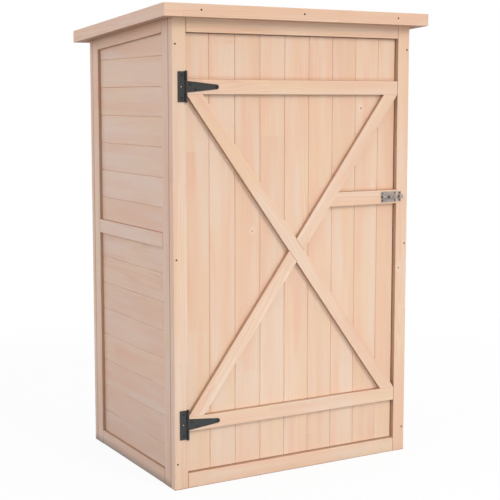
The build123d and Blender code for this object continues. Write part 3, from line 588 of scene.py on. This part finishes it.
# Turns from the shed's axes to a plank's own: X across the face, Y through it and Z along the grain
GRAIN_TURNS = {
    "upright, faces front": (0, 0, 0),
    "upright, faces side": (0, 0, -90),
    "sideways, faces front": (0, 90, 0),
    "sideways, lies flat": (-90, -90, 0),
    "to the back, faces side": (90, 0, 90),
    "to the back, lies flat": (90, 0, 0),
}
# Which of a timber's narrow sides get painted shade, as shares of the low and the high one
SIDES = {"none": (0, 0), "low": (1, 0), "high": (0, 1), "both": (1, 1)}
# Where a timber meets its neighbour or the ground flush, as its axis and its low (0) or high (1) face;
# where it stands on the ground, its dark line is painted contact shade
BUTTS = {
    "low side": (X, 0),
    "high side": (X, 1),
    "front": (Y, 0),
    "back": (Y, 1),
    "foot": (Z, 0),
    "head": (Z, 1),
}
ENDS = ("foot", "head")
# Which way a face of the shed looks, as an axis and its sign
OUTWARD = {"front": (Y, -1.0), "back": (Y, 1.0), "left": (X, -1.0), "right": (X, 1.0)}
OPEN = 1.0  # added to the distance from a face that meets nothing
LOT_SIZE = 1000  # plank numbers in a stack
NO_UPPER_FIELD = 50.0  # a height that no board reaches
DARK_LINE_INSET = 0.7 * MM  # by how much a seam line or painted shade line is thinner than a butt joint's

# A row of planks: its pitch and first joint, then where a second field starts, with the same two
PlankRow = namedtuple(
    "PlankRow", "pitch first split upper_pitch upper_first", defaults=(NO_UPPER_FIELD, 1.0, 0.0)
)
# A dark line along another timber, a seam line at a butt or a line of painted shade: the shed's axis that
# it stands on, its place there, its start along X
SeamOrShadeLine = namedtuple("SeamOrShadeLine", "axis place start", defaults=(-LONG,))


def new_material(name):
    """A material with its tree, its shader and the coordinates of the piece."""
    material = bpy.data.materials.new(name)
    material.use_nodes = True
    tree = material.node_tree
    place = new_node(tree, "TexCoord").outputs
    return material, tree, tree.nodes["Principled BSDF"], place


def bump(tree, shader, height, distance, strength):
    made = new_node(tree, "Bump")
    wire_all(tree, made, Height=height, Distance=distance, Strength=strength)
    wire_all(tree, shader, Normal=made.outputs[0])


def dress(node_name, material):
    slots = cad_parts[node_name].data.materials
    slots.clear()
    slots.append(material)


def with_seam_and_shade_lines(tree, seam, seam_and_shade_lines, shed_spot, middle, outward):
    """Distance to the nearest of a timber's joints and of the seam lines and painted shade lines on its
    outward face.
    """
    axis, sign = OUTWARD[outward]
    for dark_line in seam_and_shade_lines:
        off_line = maths(tree, "ABSOLUTE", maths(tree, "SUBTRACT", shed_spot[dark_line.axis], dark_line.place))
        off_line = maths(tree, "ADD", off_line, DARK_LINE_INSET)
        off_line = maths(tree, "MAXIMUM", off_line, maths(tree, "SUBTRACT", dark_line.start, shed_spot[X]))
        behind = maths(tree, "SUBTRACT", middle[axis], shed_spot[axis])
        off_line = maths(tree, "MAXIMUM", off_line, maths(tree, "MULTIPLY", behind, sign))
        seam = maths(tree, "MINIMUM", seam, off_line)
    return seam


def plank_material(
    settings,
    node_name,
    turn,
    number,
    row=None,
    half_size=None,
    side_shade="none",
    butts=(),
    seam=(LONG, 0.0),
    seam_and_shade_lines=(),
    outward="front",
    foot_shade=0.0,
):
    """Softwood for one node. Its first plank's number draws its grain. A seam is half its length and its
    slant, and seam lines and painted shade lines show on the outward face alone."""
    material, tree, shader, place = new_material("softwood " + node_name)
    low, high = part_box(node_name)
    middle = (low + high) / 2
    turning = Euler([math.radians(angle) for angle in turn])
    matrix = turning.to_matrix()
    centre = matrix @ middle
    if half_size is None:
        size = high - low
        half_size = [sum(abs(matrix[i][j]) * size[j] for j in range(3)) / 2 for i in range(3)]

    mapping = new_node(tree, "Mapping")
    wire_all(tree, mapping, Vector=place["Object"], Rotation=turning, Location=-centre)
    spot = mapping.outputs[0]
    facing = new_node(tree, "Mapping", vector_type="VECTOR")
    wire_all(tree, facing, Vector=place["Normal"], Rotation=turning)
    shed_spot = split(tree, place["Object"])

    first_plank = float(number + LOT_SIZE * settings.lot)
    plank, joint = first_plank, LONG
    if row:
        found = use_group(
            tree,
            plank_row_group,
            Across=split(tree, spot)[X],
            Pitch=row.pitch,
            First=row.first - centre[X],
            Split=row.split - centre[X],
            Upper_Pitch=row.upper_pitch,
            Upper_First=row.upper_first - centre[X],
        )
        plank = maths(tree, "ADD", found["Plank"], first_plank)
        joint = found["Joint"]
    low_open, high_open = [OPEN] * 3, [OPEN] * 3
    for axis, end in (BUTTS[face] for face in butts):
        (low_open, high_open)[end][axis] = 0
    arris = use_group(
        tree,
        arris_group,
        Vector=spot,
        Half_Size=half_size,
        Joint=joint,
        Low_Open=low_open,
        High_Open=high_open,
        Seam_Reach=seam[0],
        Seam_Slant=seam[1],
    )
    low_side, high_side = SIDES[side_shade]
    wood = use_group(
        tree,
        softwood_group,
        Vector=spot,
        Normal=facing.outputs[0],
        Plank=plank,
        Edge=arris["Edge"],
        Seam=with_seam_and_shade_lines(tree, arris["Seam"], seam_and_shade_lines, shed_spot, middle, outward),
        Low_Side=low_side,
        High_Side=high_side,
        Above_Ground=shed_spot[Z],
        Damp=foot_shade,
        **{title.title(): getattr(settings, title) for title in WOOD_COLOURS + WOOD_MEASURES},
    )
    wire_all(tree, shader, Base_Color=wood["Colour"], Roughness=wood["Roughness"])
    wire_all(tree, shader, Specular_IOR_Level=WOOD_GLOSS)
    bump(tree, shader, wood["Height"], settings.fibre_depth, WOOD_BUMP)
    dress(node_name, material)


def skin_material(name, group, tint, metallic, relief):
    """One of the metal skins, on the piece's own coordinates."""
    material, tree, shader, place = new_material(name)
    skin = use_group(tree, group, Vector=place["Object"], Tint=tint)
    wire_all(tree, shader, Base_Color=skin["Colour"], Roughness=skin["Roughness"], Metallic=metallic)
    bump(tree, shader, skin["Height"], relief, SKIN_BUMP)
    return material


def plated_material(name, tint, metallic=1.0):
    return skin_material(name, plated_group, tint, metallic, PLATED_RELIEF)


def knob_material(settings):
    """Plated steel with painted shade round the sides of the knob, keeping the plating's colour in front.
    """
    material, tree, shader, place = new_material("oily knob")
    skin = use_group(tree, plated_group, Vector=place["Object"], Tint=settings.zinc)
    facing_front = eased(tree, split(tree, place["Normal"])[Y], *KNOB_SHADE_FACING, 1.0, 0.0)
    colour = mixed(tree, facing_front, settings.knob_shade, skin["Colour"])
    wire_all(tree, shader, Base_Color=colour, Roughness=skin["Roughness"], Metallic=settings.zinc_shine)
    return material


def felt_material(settings):
    """Felt with grit stuck in it, which hardly shines."""
    material, tree, shader, place = new_material("mineral felt")
    felt = use_group(tree, felt_group, Vector=place["Object"], Ground=settings.felt, Grit=settings.grit)
    wire_all(tree, shader, Base_Color=felt["Colour"], Roughness=FELT_ROUGHNESS)
    wire_all(tree, shader, Specular_IOR_Level=FELT_GLOSS)
    bump(tree, shader, felt["Height"], GRIT_RELIEF, FELT_BUMP)
    return material


# Timbers

WALL_ROW = PlankRow(70 * MM, 95.5 * MM, split=600 * MM, upper_pitch=72 * MM, upper_first=674.5 * MM)
DOOR_ROW = PlankRow(70 * MM, -239 * MM)
FLOOR_ROW = PlankRow(76.5 * MM, -225.5 * MM)
SHELF_ROW = PlankRow(75 * MM, -66.5 * MM)
DECK_ROW = PlankRow(86.7 * MM, -260 * MM)
BEARER_ROW = PlankRow(290 * MM, -145 * MM)
SHELF_BATTEN_ROW = PlankRow(350 * MM, 200 * MM)
ROOF_BATTEN_ROW = PlankRow(400 * MM, 0.0)

# Timbers of each wall: how the grain lies, which narrow sides get painted shade and where they butt
FRONT_TIMBERS = (
    ("post_left", "upright, faces front", "high", ("back", "foot")),
    ("post_right", "upright, faces front", "low", ("back", "foot")),
    ("header", "sideways, faces front", "low", ENDS),
    ("sill", "sideways, faces front", "high", (*ENDS, "low side")),
)
SIDE_TIMBERS = (
    ("front_stile", "upright, faces side", "high", ("low side", "foot")),
    ("back_stile", "upright, faces side", "low", ("high side", "foot")),
    ("bottom_rail", "to the back, faces side", "high", (*ENDS, "low side")),
    ("middle_rail", "to the back, faces side", "both", ENDS),
)
BACK_TIMBERS = (
    ("left_stile", "upright, faces front", "high", ("front", "foot")),
    ("right_stile", "upright, faces front", "low", ("front", "foot")),
    ("bottom_rail", "sideways, faces front", "high", (*ENDS, "low side")),
    ("middle_rail", "sideways, faces front", "both", ENDS),
    ("top_rail", "sideways, faces front", "low", ENDS),
)
DOOR_LEDGES = ("door_top_ledge", "door_bottom_ledge", "door_latch_ledge")
# Braces of the door: which way they lean, and where they butt
DOOR_BRACES = (
    ("door_long_brace", 1, ("low side", "high side")),
    ("door_upper_brace", -1, ()),
    ("door_lower_brace", -1, ()),
)
# Boards, bearers and battens: how the grain lies, the step to the first plank's number, and the row
INSIDE_TIMBERS = (
    ("floor_boards", "sideways, lies flat", 0, FLOOR_ROW),
    ("lower_shelf", "sideways, lies flat", 20, SHELF_ROW),
    ("upper_shelf", "sideways, lies flat", 40, SHELF_ROW),
    ("floor_bearers", "to the back, lies flat", 60, BEARER_ROW),
    ("shelf_battens", "to the back, faces side", 80, SHELF_BATTEN_ROW),
)
ROOF_TIMBERS = (
    ("roof_deck", "sideways, lies flat", 20, DECK_ROW),
    ("roof_battens", "to the back, lies flat", 40, ROOF_BATTEN_ROW),
)

# Half sizes of the timbers that lie aslant, across the face, through it and along the grain
BRACE_HALF_WIDTH = 17 * MM
BRACE_HALF = (BRACE_HALF_WIDTH, 6 * MM, LONG)
TOP_RAIL_HALF = (17.5 * MM, 7.5 * MM, LONG)
FASCIA_HALF = (15 * MM, 10 * MM, LONG)

# Numbers of each group's first plank, and steps from there to its other timbers
FRONT_PLANKS = 100
LEFT_PLANKS = 200
RIGHT_PLANKS = 300
BACK_PLANKS = 400
DOOR_PLANKS = 500
INSIDE_PLANKS = 600
ROOF_PLANKS = 700
TOP_RAIL_STEP = 10
WALL_BOARDS_STEP = 20
LEDGE_STEP = 30
BRACE_STEP = 40
DOOR_STOP_STEP = 50
SIDE_FASCIA_STEP = 10

# How strongly painted shade darkens the feet of the front and of the other walls
FRONT_FOOT_SHADE = 0.1
WALL_FOOT_SHADE = 1.0


def wall_timbers(settings, wall, timbers, first_plank, foot_shade):
    """Softwood for the squared timbers of one wall, in the order of their planks."""
    for number, (name, grain, side_shade, butts) in enumerate(timbers, first_plank):
        turn = GRAIN_TURNS[grain]
        plank_material(settings, wall + name, turn, number, side_shade=side_shade, butts=butts, foot_shade=foot_shade)


def rows_of_planks(settings, timbers, first_plank):
    """Softwood for boards, bearers and battens that share a node."""
    for name, grain, step, row in timbers:
        plank_material(settings, name, GRAIN_TURNS[grain], first_plank + step, row=row)


def sloping_turn(pitch):
    """Turn of a timber that runs down the roof's slope."""
    about_x, about_y, about_z = GRAIN_TURNS["to the back, faces side"]
    return about_x + math.degrees(pitch), about_y, about_z


def brace_lean():
    """How far the door's braces lean from upright, in degrees."""
    low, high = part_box("door_long_brace")
    width = high.x - low.x
    height = high.z - low.z
    return math.degrees(math.atan2(width - 2 * BRACE_HALF_WIDTH, height))


def rail_tops(wall):
    """Painted shade lines along the tops of a wall's rails, on the level boards behind them."""
    return [SeamOrShadeLine(Z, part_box(wall + rail)[1].z) for rail in ("bottom_rail", "middle_rail")]


class SHED_OT_front_frame(bpy.types.Operator):
    """Finish the posts, header and sill of the front"""

    bl_idname = "shed.front_frame"
    bl_label = "Front frame"
    bl_options = {"REGISTER", "UNDO"}

    def execute(self, context):
        wall_timbers(context.scene.shed_timber, "front_", FRONT_TIMBERS, FRONT_PLANKS, FRONT_FOOT_SHADE)
        return {"FINISHED"}


class SHED_OT_side_walls(bpy.types.Operator):
    """Finish the boards, stiles and rails of both side walls"""

    bl_idname = "shed.side_walls"
    bl_label = "Side walls"
    bl_options = {"REGISTER", "UNDO"}

    def execute(self, context):
        settings = context.scene.shed_timber
        for first_plank, outward in ((LEFT_PLANKS, "left"), (RIGHT_PLANKS, "right")):
            wall = outward + "_wall_"
            wall_timbers(settings, wall, SIDE_TIMBERS, first_plank, WALL_FOOT_SHADE)
            # The top rail gets painted shade on its underside, and dark seam lines at its ends
            plank_material(
                settings,
                wall + "top_rail",
                sloping_turn(context.scene.shed_roof.pitch),
                first_plank + TOP_RAIL_STEP,
                half_size=TOP_RAIL_HALF,
                side_shade="low",
                seam_and_shade_lines=[SeamOrShadeLine(Y, corner.y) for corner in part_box(wall + "top_rail")],
                outward=outward,
            )
            plank_material(
                settings,
                wall + "boards",
                GRAIN_TURNS["to the back, faces side"],
                first_plank + WALL_BOARDS_STEP,
                row=WALL_ROW,
                seam_and_shade_lines=rail_tops(wall),
                outward=outward,
                foot_shade=WALL_FOOT_SHADE,
            )
        return {"FINISHED"}


class SHED_OT_back_wall(bpy.types.Operator):
    """Finish the boards, stiles and rails of the back wall"""

    bl_idname = "shed.back_wall"
    bl_label = "Back wall"
    bl_options = {"REGISTER", "UNDO"}

    def execute(self, context):
        settings = context.scene.shed_timber
        wall_timbers(settings, "back_wall_", BACK_TIMBERS, BACK_PLANKS, WALL_FOOT_SHADE)
        plank_material(
            settings,
            "back_wall_boards",
            GRAIN_TURNS["sideways, faces front"],
            BACK_PLANKS + WALL_BOARDS_STEP,
            row=WALL_ROW,
            seam_and_shade_lines=rail_tops("back_wall_"),
            outward="back",
            foot_shade=WALL_FOOT_SHADE,
        )
        return {"FINISHED"}


class SHED_OT_door(bpy.types.Operator):
    """Finish the door's boards, ledges, braces and stop"""

    bl_idname = "shed.door"
    bl_label = "Door"
    bl_options = {"REGISTER", "UNDO"}

    def execute(self, context):
        settings = context.scene.shed_timber
        upright = GRAIN_TURNS["upright, faces front"]
        sideways = GRAIN_TURNS["sideways, faces front"]
        ledges = [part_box(name) for name in DOOR_LEDGES]
        # Painted shade lines on the boards along the top and bottom of each ledge
        lines = [SeamOrShadeLine(Z, corner.z, low.x) for low, high in ledges for corner in (low, high)]
        plank_material(settings, "door_boards", upright, DOOR_PLANKS, row=DOOR_ROW, seam_and_shade_lines=lines)
        # Ledges and braces get painted shade on both narrow sides
        for number, name in enumerate(DOOR_LEDGES, DOOR_PLANKS + LEDGE_STEP):
            plank_material(settings, name, sideways, number, side_shade="both")
        lean = brace_lean()
        crossing = math.radians(2 * lean)
        seam = (BRACE_HALF_WIDTH / math.sin(crossing), 1 / math.tan(crossing))
        for number, (name, way, butts) in enumerate(DOOR_BRACES, DOOR_PLANKS + BRACE_STEP):
            plank_material(
                settings,
                name,
                (0, way * lean, 0),
                number,
                half_size=BRACE_HALF,
                side_shade="both",
                butts=butts,
                seam=seam,
            )
        plank_material(settings, "door_stop", sideways, DOOR_PLANKS + DOOR_STOP_STEP)
        return {"FINISHED"}


class SHED_OT_inside(bpy.types.Operator):
    """Finish the floor, the shelves and their battens"""

    bl_idname = "shed.inside"
    bl_label = "Floor and shelves"
    bl_options = {"REGISTER", "UNDO"}

    def execute(self, context):
        rows_of_planks(context.scene.shed_timber, INSIDE_TIMBERS, INSIDE_PLANKS)
        return {"FINISHED"}


class SHED_OT_roof_timbers(bpy.types.Operator):
    """Finish the roof's fascias, boarded deck and battens"""

    bl_idname = "shed.roof_timbers"
    bl_label = "Roof timbers"
    bl_options = {"REGISTER", "UNDO"}

    def execute(self, context):
        settings = context.scene.shed_timber
        level = GRAIN_TURNS["sideways, faces front"]
        sloping = sloping_turn(context.scene.shed_roof.pitch)
        fascias = (
            ("front", level, 0),
            ("back", level, 1),
            ("left", sloping, SIDE_FASCIA_STEP),
            ("right", sloping, SIDE_FASCIA_STEP + 1),
        )
        for side, turn, step in fascias:
            number = ROOF_PLANKS + step
            # Each fascia gets painted shade on its underside
            plank_material(settings, side + "_fascia", turn, number, half_size=FASCIA_HALF, side_shade="low")
        rows_of_planks(settings, ROOF_TIMBERS, ROOF_PLANKS)
        return {"FINISHED"}


class SHED_OT_fittings(bpy.types.Operator):
    """Finish the hinges, the latch and every screw"""

    bl_idname = "shed.fittings"
    bl_label = "Fittings"
    bl_options = {"REGISTER", "UNDO"}

    def execute(self, context):
        settings = context.scene.shed_fittings
        coat = skin_material("black coated steel", coat_group, settings.coat, 0.0, COAT_RELIEF)
        zinc = plated_material("zinc plated steel", settings.zinc, settings.zinc_shine)
        dark = plated_material("dark screw steel", settings.screw)
        black = plated_material("blackened screw", settings.hinge_screw)
        for part in ("plate", "strap", "pin"):
            dress("top_hinge_" + part, coat)
            dress("bottom_hinge_" + part, coat)
        for part in ("plate", "bolt", "keeper"):
            dress("latch_" + part, zinc)
        dress("latch_knob", knob_material(settings))
        for part in ("plate", "strap"):
            dress("hinge_" + part + "_screws", black)
        for part in ("latch", "keeper", "wall", "fascia", "batten"):
            dress(part + "_screws", dark)
        return {"FINISHED"}


# Roofing felt

FELT_BED = 3.5 * MM  # from the fascia's top down to the deck
LAP_RISE = 6 * MM  # length over which a course climbs onto the one under it
LAP_PLAY = 1 * MM  # from the end of that climb to the edge of the course under it
SAME_PLACE = 1e-6  # what rounding may move a point by
COURSE_CUTS = 35
RIPPLE_SIZE = 0.12
RIPPLE_HEIGHT = 0.7 * MM
RIPPLE_LEVEL = 0.25
FELT_EDGE_WIDTH = 0.4 * MM
FELT_EDGE_ANGLE = math.radians(50)
FELT_SMOOTH_ANGLE = math.radians(35)


def choose(obj):
    """Make a piece the only one chosen."""
    bpy.ops.object.select_all(action="DESELECT")
    bpy.context.view_layer.objects.active = obj
    obj.select_set(True)


def apply_modifiers(obj):
    choose(obj)
    for modifier in list(obj.modifiers):
        bpy.ops.object.modifier_apply(modifier=modifier.name)


def set_on_roof(obj, pitch):
    """Tip a piece made level at the roof's front edge down the roof's slope."""
    low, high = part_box("front_fascia")
    choose(obj)
    obj.location = (0.0, low.y, high.z)
    obj.rotation_euler = (-pitch, 0.0, 0.0)
    bpy.ops.object.transform_apply(location=True, rotation=True, scale=True)


def felt_run(pitch):
    """Where the felt starts and ends along the slope, measured from the roof's front edge."""
    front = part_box("front_fascia")[0].y
    return [(corner.y - front) / math.cos(pitch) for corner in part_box("roof_felt")]


def lift_lap(course, start, thickness):
    """Lift a course's back part over the course under it, by its thickness."""
    for step in (0.0, LAP_RISE):
        bpy.ops.mesh.select_all(action="SELECT")
        bpy.ops.mesh.bisect(plane_co=(0, start + step, 0), plane_no=(0, 1, 0))
    bpy.ops.object.mode_set(mode="OBJECT")
    for vertex in course.data.vertices:
        vertex.select = vertex.co.y > start + LAP_RISE - SAME_PLACE
    bpy.ops.object.mode_set(mode="EDIT")
    bpy.ops.mesh.select_mode(type="VERT")
    bpy.ops.transform.translate(value=(0, 0, thickness))


def lay_course(name, half_width, near, far, thickness, lap_start=None):
    """Model one course of felt, level, on the deck or with its back part over another course."""
    bpy.ops.object.select_all(action="DESELECT")
    bpy.ops.mesh.primitive_plane_add(size=1, location=(0, (near + far) / 2, -FELT_BED))
    course = bpy.context.object
    course.name = name
    course.scale = (2 * half_width, far - near, 1)
    bpy.ops.object.transform_apply(location=True, rotation=False, scale=True)
    choose(course)
    bpy.ops.object.mode_set(mode="EDIT")
    bpy.ops.mesh.select_all(action="SELECT")
    bpy.ops.mesh.subdivide(number_cuts=COURSE_CUTS)
    if lap_start is not None:
        lift_lap(course, lap_start, thickness)
    bpy.ops.object.mode_set(mode="OBJECT")
    ripple = bpy.data.textures.new(name + " ripple", "CLOUDS")
    ripple.noise_scale = RIPPLE_SIZE
    ripple.noise_depth = 1
    waves = course.modifiers.new("Ripple", "DISPLACE")
    waves.texture = ripple
    waves.direction = "Z"
    waves.strength = RIPPLE_HEIGHT
    waves.mid_level = RIPPLE_LEVEL
    body = course.modifiers.new("Body", "SOLIDIFY")
    body.thickness = thickness
    body.offset = 1
    edge = course.modifiers.new("Edge", "BEVEL")
    edge.width = FELT_EDGE_WIDTH
    edge.segments = 2
    edge.limit_method = "ANGLE"
    edge.angle_limit = FELT_EDGE_ANGLE
    apply_modifiers(course)
    bpy.ops.object.shade_smooth_by_angle(angle=FELT_SMOOTH_ANGLE)
    return course


class SHED_OT_felt(bpy.types.Operator):
    """Lay two courses of felt on the deck, the front one lapping over the back one"""

    bl_idname = "shed.felt"
    bl_label = "Roofing felt"
    bl_options = {"REGISTER", "UNDO"}

    def execute(self, context):
        settings = context.scene.shed_roof
        near, far = felt_run(settings.pitch)
        middle = (near + far) / 2
        half_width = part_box("roof_felt")[1].x
        thickness = settings.course_thickness
        material = felt_material(settings)
        back = lay_course("felt_back_course", half_width, middle, far, thickness)
        lap_start = middle - LAP_RISE - LAP_PLAY
        lap_end = middle + settings.lap
        front = lay_course("felt_front_course", half_width, near, lap_end, thickness, lap_start)
        for course in (back, front):
            set_on_roof(course, settings.pitch)
            course.data.materials.append(material)
            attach(course, "carcass")
            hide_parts("roof_felt")
        return {"FINISHED"}


NAIL_INSET = 14 * MM  # from the felt's edges
LAP_NAIL_INSET = 12 * MM  # from the lap's edge
LAP_NAIL_CLEARANCE = 25 * MM  # between the lap's row and the nails of the sides
NAIL_SIDES = 14
NAIL_HEAD = 1.2 * MM
NAIL_LIFT = 0.5 * MM
NAIL_STEPS = ((0.22, 0.25 * MM), (0.3, 0.12 * MM))  # insets of the head, in radii, and their heights
NAIL_SMOOTH_ANGLE = math.radians(40)
FACING_UP = 0.9


def nail_spots(settings):
    """Places of the nails on the level roof: down both sides, along both ends and along the lap."""
    low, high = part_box("roof_felt")
    left = low.x + NAIL_INSET
    right = high.x - NAIL_INSET
    near, far = felt_run(settings.pitch)
    near += NAIL_INSET
    far -= NAIL_INSET
    lap_row = (near + far) / 2 + settings.lap - LAP_NAIL_INSET
    top = -FELT_BED + settings.course_thickness
    lap_top = top + settings.course_thickness
    spots = []
    columns = round((right - left) / settings.nail_pitch)
    for index in range(columns + 1):
        x = left + (right - left) * index / columns
        spots += [(x, near, top), (x, lap_row, lap_top), (x, far, top)]
    rows = round((far - near) / settings.nail_pitch)
    for index in range(1, rows):
        y = near + (far - near) * index / rows
        if abs(y - lap_row) < LAP_NAIL_CLEARANCE:
            continue
        lapped = lap_row - settings.lap < y < lap_row + LAP_NAIL_INSET
        z = lap_top if lapped else top
        spots += [(left, y, z), (right, y, z)]
    return spots


def model_nail(radius):
    """Model one broad nail head, stepped towards its middle."""
    bpy.ops.object.select_all(action="DESELECT")
    bpy.ops.mesh.primitive_cylinder_add(
        vertices=NAIL_SIDES, radius=radius, depth=NAIL_HEAD, end_fill_type="NGON"
    )
    nail = bpy.context.object
    choose(nail)
    bpy.ops.object.mode_set(mode="EDIT")
    bpy.ops.mesh.select_all(action="DESELECT")
    bpy.ops.mesh.select_mode(type="FACE")
    bpy.ops.object.mode_set(mode="OBJECT")
    for face in nail.data.polygons:
        face.select = face.normal.z > FACING_UP
    bpy.ops.object.mode_set(mode="EDIT")
    for inset, height in NAIL_STEPS:
        bpy.ops.mesh.inset(thickness=radius * inset, depth=height)
    bpy.ops.object.mode_set(mode="OBJECT")
    bpy.ops.object.shade_smooth_by_angle(angle=NAIL_SMOOTH_ANGLE)
    return nail


class SHED_OT_felt_nails(bpy.types.Operator):
    """Drive broad-headed nails along the felt's edges and its lap"""

    bl_idname = "shed.felt_nails"
    bl_label = "Felt nails"
    bl_options = {"REGISTER", "UNDO"}

    def execute(self, context):
        settings = context.scene.shed_roof
        nail = model_nail(settings.nail_radius)
        copies = []
        for x, y, z in nail_spots(settings):
            copy = nail.copy()
            copy.data = nail.data.copy()
            copy.location = (x, y, z + NAIL_LIFT)
            context.scene.collection.objects.link(copy)
            copies.append(copy)
        bpy.data.objects.remove(nail)
        choose(copies[0])
        for copy in copies:
            copy.select_set(True)
        bpy.ops.object.join()
        nails = context.object
        nails.name = "felt_nails"
        bpy.ops.object.transform_apply(location=True, rotation=True, scale=True)
        set_on_roof(nails, settings.pitch)
        nails.data.materials.append(plated_material("galvanised nail", context.scene.shed_fittings.zinc))
        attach(nails, "carcass")
        return {"FINISHED"}


# Stage

CAMERA_PLACE = (-1.5205, -2.6774, 0.931)
CAMERA_SENSOR = 36  # width in millimetres
CAMERA_REACH = 200
LAMPS = {  # places and aims
    "key": ((1.2, -5.1, 3.9), (0.0, -0.25, 0.5)),
    "fill": ((0.08, -1.5, 0.15), (0.0, -0.25, 0.14)),
}
FLOOR_ROUGHNESS = 0.9
FLOOR_WHITENING = 0.92  # how far the seen floor near the shed is lifted to plain white
FRONT_SKY = (-0.9, 0.1)  # where it fades out, from straight in front (-1) to straight behind (1)
SKY_RISE = (0.0, 0.9)  # where the horizon's light fades to the zenith's, from level (0) to upright (1)


def seen_background(tree):
    """1 for the rays that should meet a plain white background, and 0 for the light on the shed."""
    path = new_node(tree, "LightPath").outputs
    seen = maths(tree, "MAXIMUM", path["Is Camera Ray"], path["Is Glossy Ray"])
    return maths(tree, "MAXIMUM", seen, path["Is Transmission Ray"])


class SHED_OT_stage(bpy.types.Operator):
    """Set up the floor, the light and the camera"""

    bl_idname = "shed.stage"
    bl_label = "Stage"
    bl_options = {"REGISTER", "UNDO"}

    def execute(self, context):
        settings = context.scene.shed_stage
        self.lay_floor(settings)
        self.light_sky(context, settings)
        for name, (place, aim) in LAMPS.items():
            self.add_lamp(settings, name, place, aim)
        self.place_camera(context, settings)
        context.scene.view_settings.view_transform = "Standard"
        return {"FINISHED"}

    def lay_floor(self, settings):
        bpy.ops.object.select_all(action="DESELECT")
        bpy.ops.mesh.primitive_plane_add(size=settings.floor_size, location=(0, 0, 0))
        floor = bpy.context.object
        floor.name = "floor"
        material, tree, shader, place = new_material("pale floor")
        path = new_node(tree, "LightPath").outputs
        bounced = mixed(tree, path["Is Diffuse Ray"], settings.floor, settings.floor_bounce)
        wire_all(tree, shader, Base_Color=bounced, Roughness=FLOOR_ROUGHNESS, Specular_IOR_Level=0.0)
        white = new_node(tree, "Emission")
        away = vectors(tree, "LENGTH", place["Object"])
        reach = settings.shadow_reach
        lifted = eased(tree, away, reach / 2, reach, FLOOR_WHITENING, 1.0)
        factor = maths(tree, "MULTIPLY", seen_background(tree), lifted)
        blend = new_node(tree, "MixShader", factor, shader.outputs[0], white.outputs[0])
        wire_all(tree, tree.nodes["Material Output"], Surface=blend.outputs[0])
        floor.data.materials.append(material)

    def light_sky(self, context, settings):
        world = bpy.data.worlds.new("Studio")
        world.use_nodes = True
        tree = world.node_tree
        tree.nodes.clear()
        place = new_node(tree, "TexCoord").outputs
        _, to_back, up = split(tree, place["Generated"])
        in_front = eased(tree, to_back, *FRONT_SKY, 1.0, 0.0)
        colour = mixed(tree, in_front, settings.sky, settings.front_sky)
        level = eased(tree, up, *SKY_RISE, 1.0, settings.zenith)
        level = maths(tree, "MULTIPLY", level, settings.sky_strength)
        sky = new_node(tree, "Background", colour, level)
        white = new_node(tree, "Background", (1, 1, 1), 1.0)
        blend = new_node(tree, "MixShader", seen_background(tree), sky.outputs[0], white.outputs[0])
        new_node(tree, "OutputWorld", blend.outputs[0])
        context.scene.world = world

    def add_lamp(self, settings, name, place, aim):
        turn = (Vector(aim) - Vector(place)).to_track_quat("-Z", "Y").to_euler()
        bpy.ops.object.light_add(type="AREA", location=place, rotation=turn)
        lamp = bpy.context.object
        lamp.name = name
        lamp.visible_camera = False
        lamp.data.color = getattr(settings, name)
        lamp.data.energy = getattr(settings, name + "_power")
        lamp.data.shape = "RECTANGLE"
        lamp.data.size = getattr(settings, name + "_width")
        lamp.data.size_y = getattr(settings, name + "_height")

    def place_camera(self, context, settings):
        turn = (math.radians(90) - settings.camera_tilt, 0.0, -settings.camera_turn)
        bpy.ops.object.camera_add(location=CAMERA_PLACE, rotation=turn)
        camera = context.object
        camera.name = "camera"
        camera.data.sensor_width = CAMERA_SENSOR
        camera.data.lens = settings.lens
        camera.data.shift_y = settings.camera_shift
        camera.data.clip_end = CAMERA_REACH
        context.scene.camera = camera


OPERATORS = (
    SHED_OT_front_frame,
    SHED_OT_side_walls,
    SHED_OT_back_wall,
    SHED_OT_door,
    SHED_OT_inside,
    SHED_OT_roof_timbers,
    SHED_OT_fittings,
    SHED_OT_felt,
    SHED_OT_felt_nails,
    SHED_OT_stage,
)
SETTINGS = {
    "shed_timber": TimberSettings,
    "shed_fittings": FittingSettings,
    "shed_roof": RoofSettings,
    "shed_stage": StageSettings,
}


class SHED_PT_panel(bpy.types.Panel):
    """Lists the shed's finishes and their settings"""

    bl_idname = "SHED_PT_panel"
    bl_label = "Garden shed"
    bl_space_type = "VIEW_3D"
    bl_region_type = "UI"
    bl_category = "Shed"

    def draw(self, context):
        for operator in OPERATORS:
            self.layout.operator(operator.bl_idname)
        for name, group in SETTINGS.items():
            box = self.layout.box()
            for title in group.__annotations__:
                box.prop(getattr(context.scene, name), title)


def register():
    for name, group in SETTINGS.items():
        bpy.utils.register_class(group)
        setattr(bpy.types.Scene, name, bpy.props.PointerProperty(type=group))
    for operator in OPERATORS:
        bpy.utils.register_class(operator)
    bpy.utils.register_class(SHED_PT_panel)


def unregister():
    bpy.utils.unregister_class(SHED_PT_panel)
    for operator in reversed(OPERATORS):
        bpy.utils.unregister_class(operator)
    for name, group in SETTINGS.items():
        delattr(bpy.types.Scene, name)
        bpy.utils.unregister_class(group)


def main():
    register()
    bpy.ops.shed.front_frame()
    bpy.ops.shed.side_walls()
    bpy.ops.shed.back_wall()
    bpy.ops.shed.door()
    bpy.ops.shed.inside()
    bpy.ops.shed.roof_timbers()
    bpy.ops.shed.fittings()
    bpy.ops.shed.felt()
    bpy.ops.shed.felt_nails()
    bpy.ops.shed.stage()


if __name__ == "__main__":
    main()
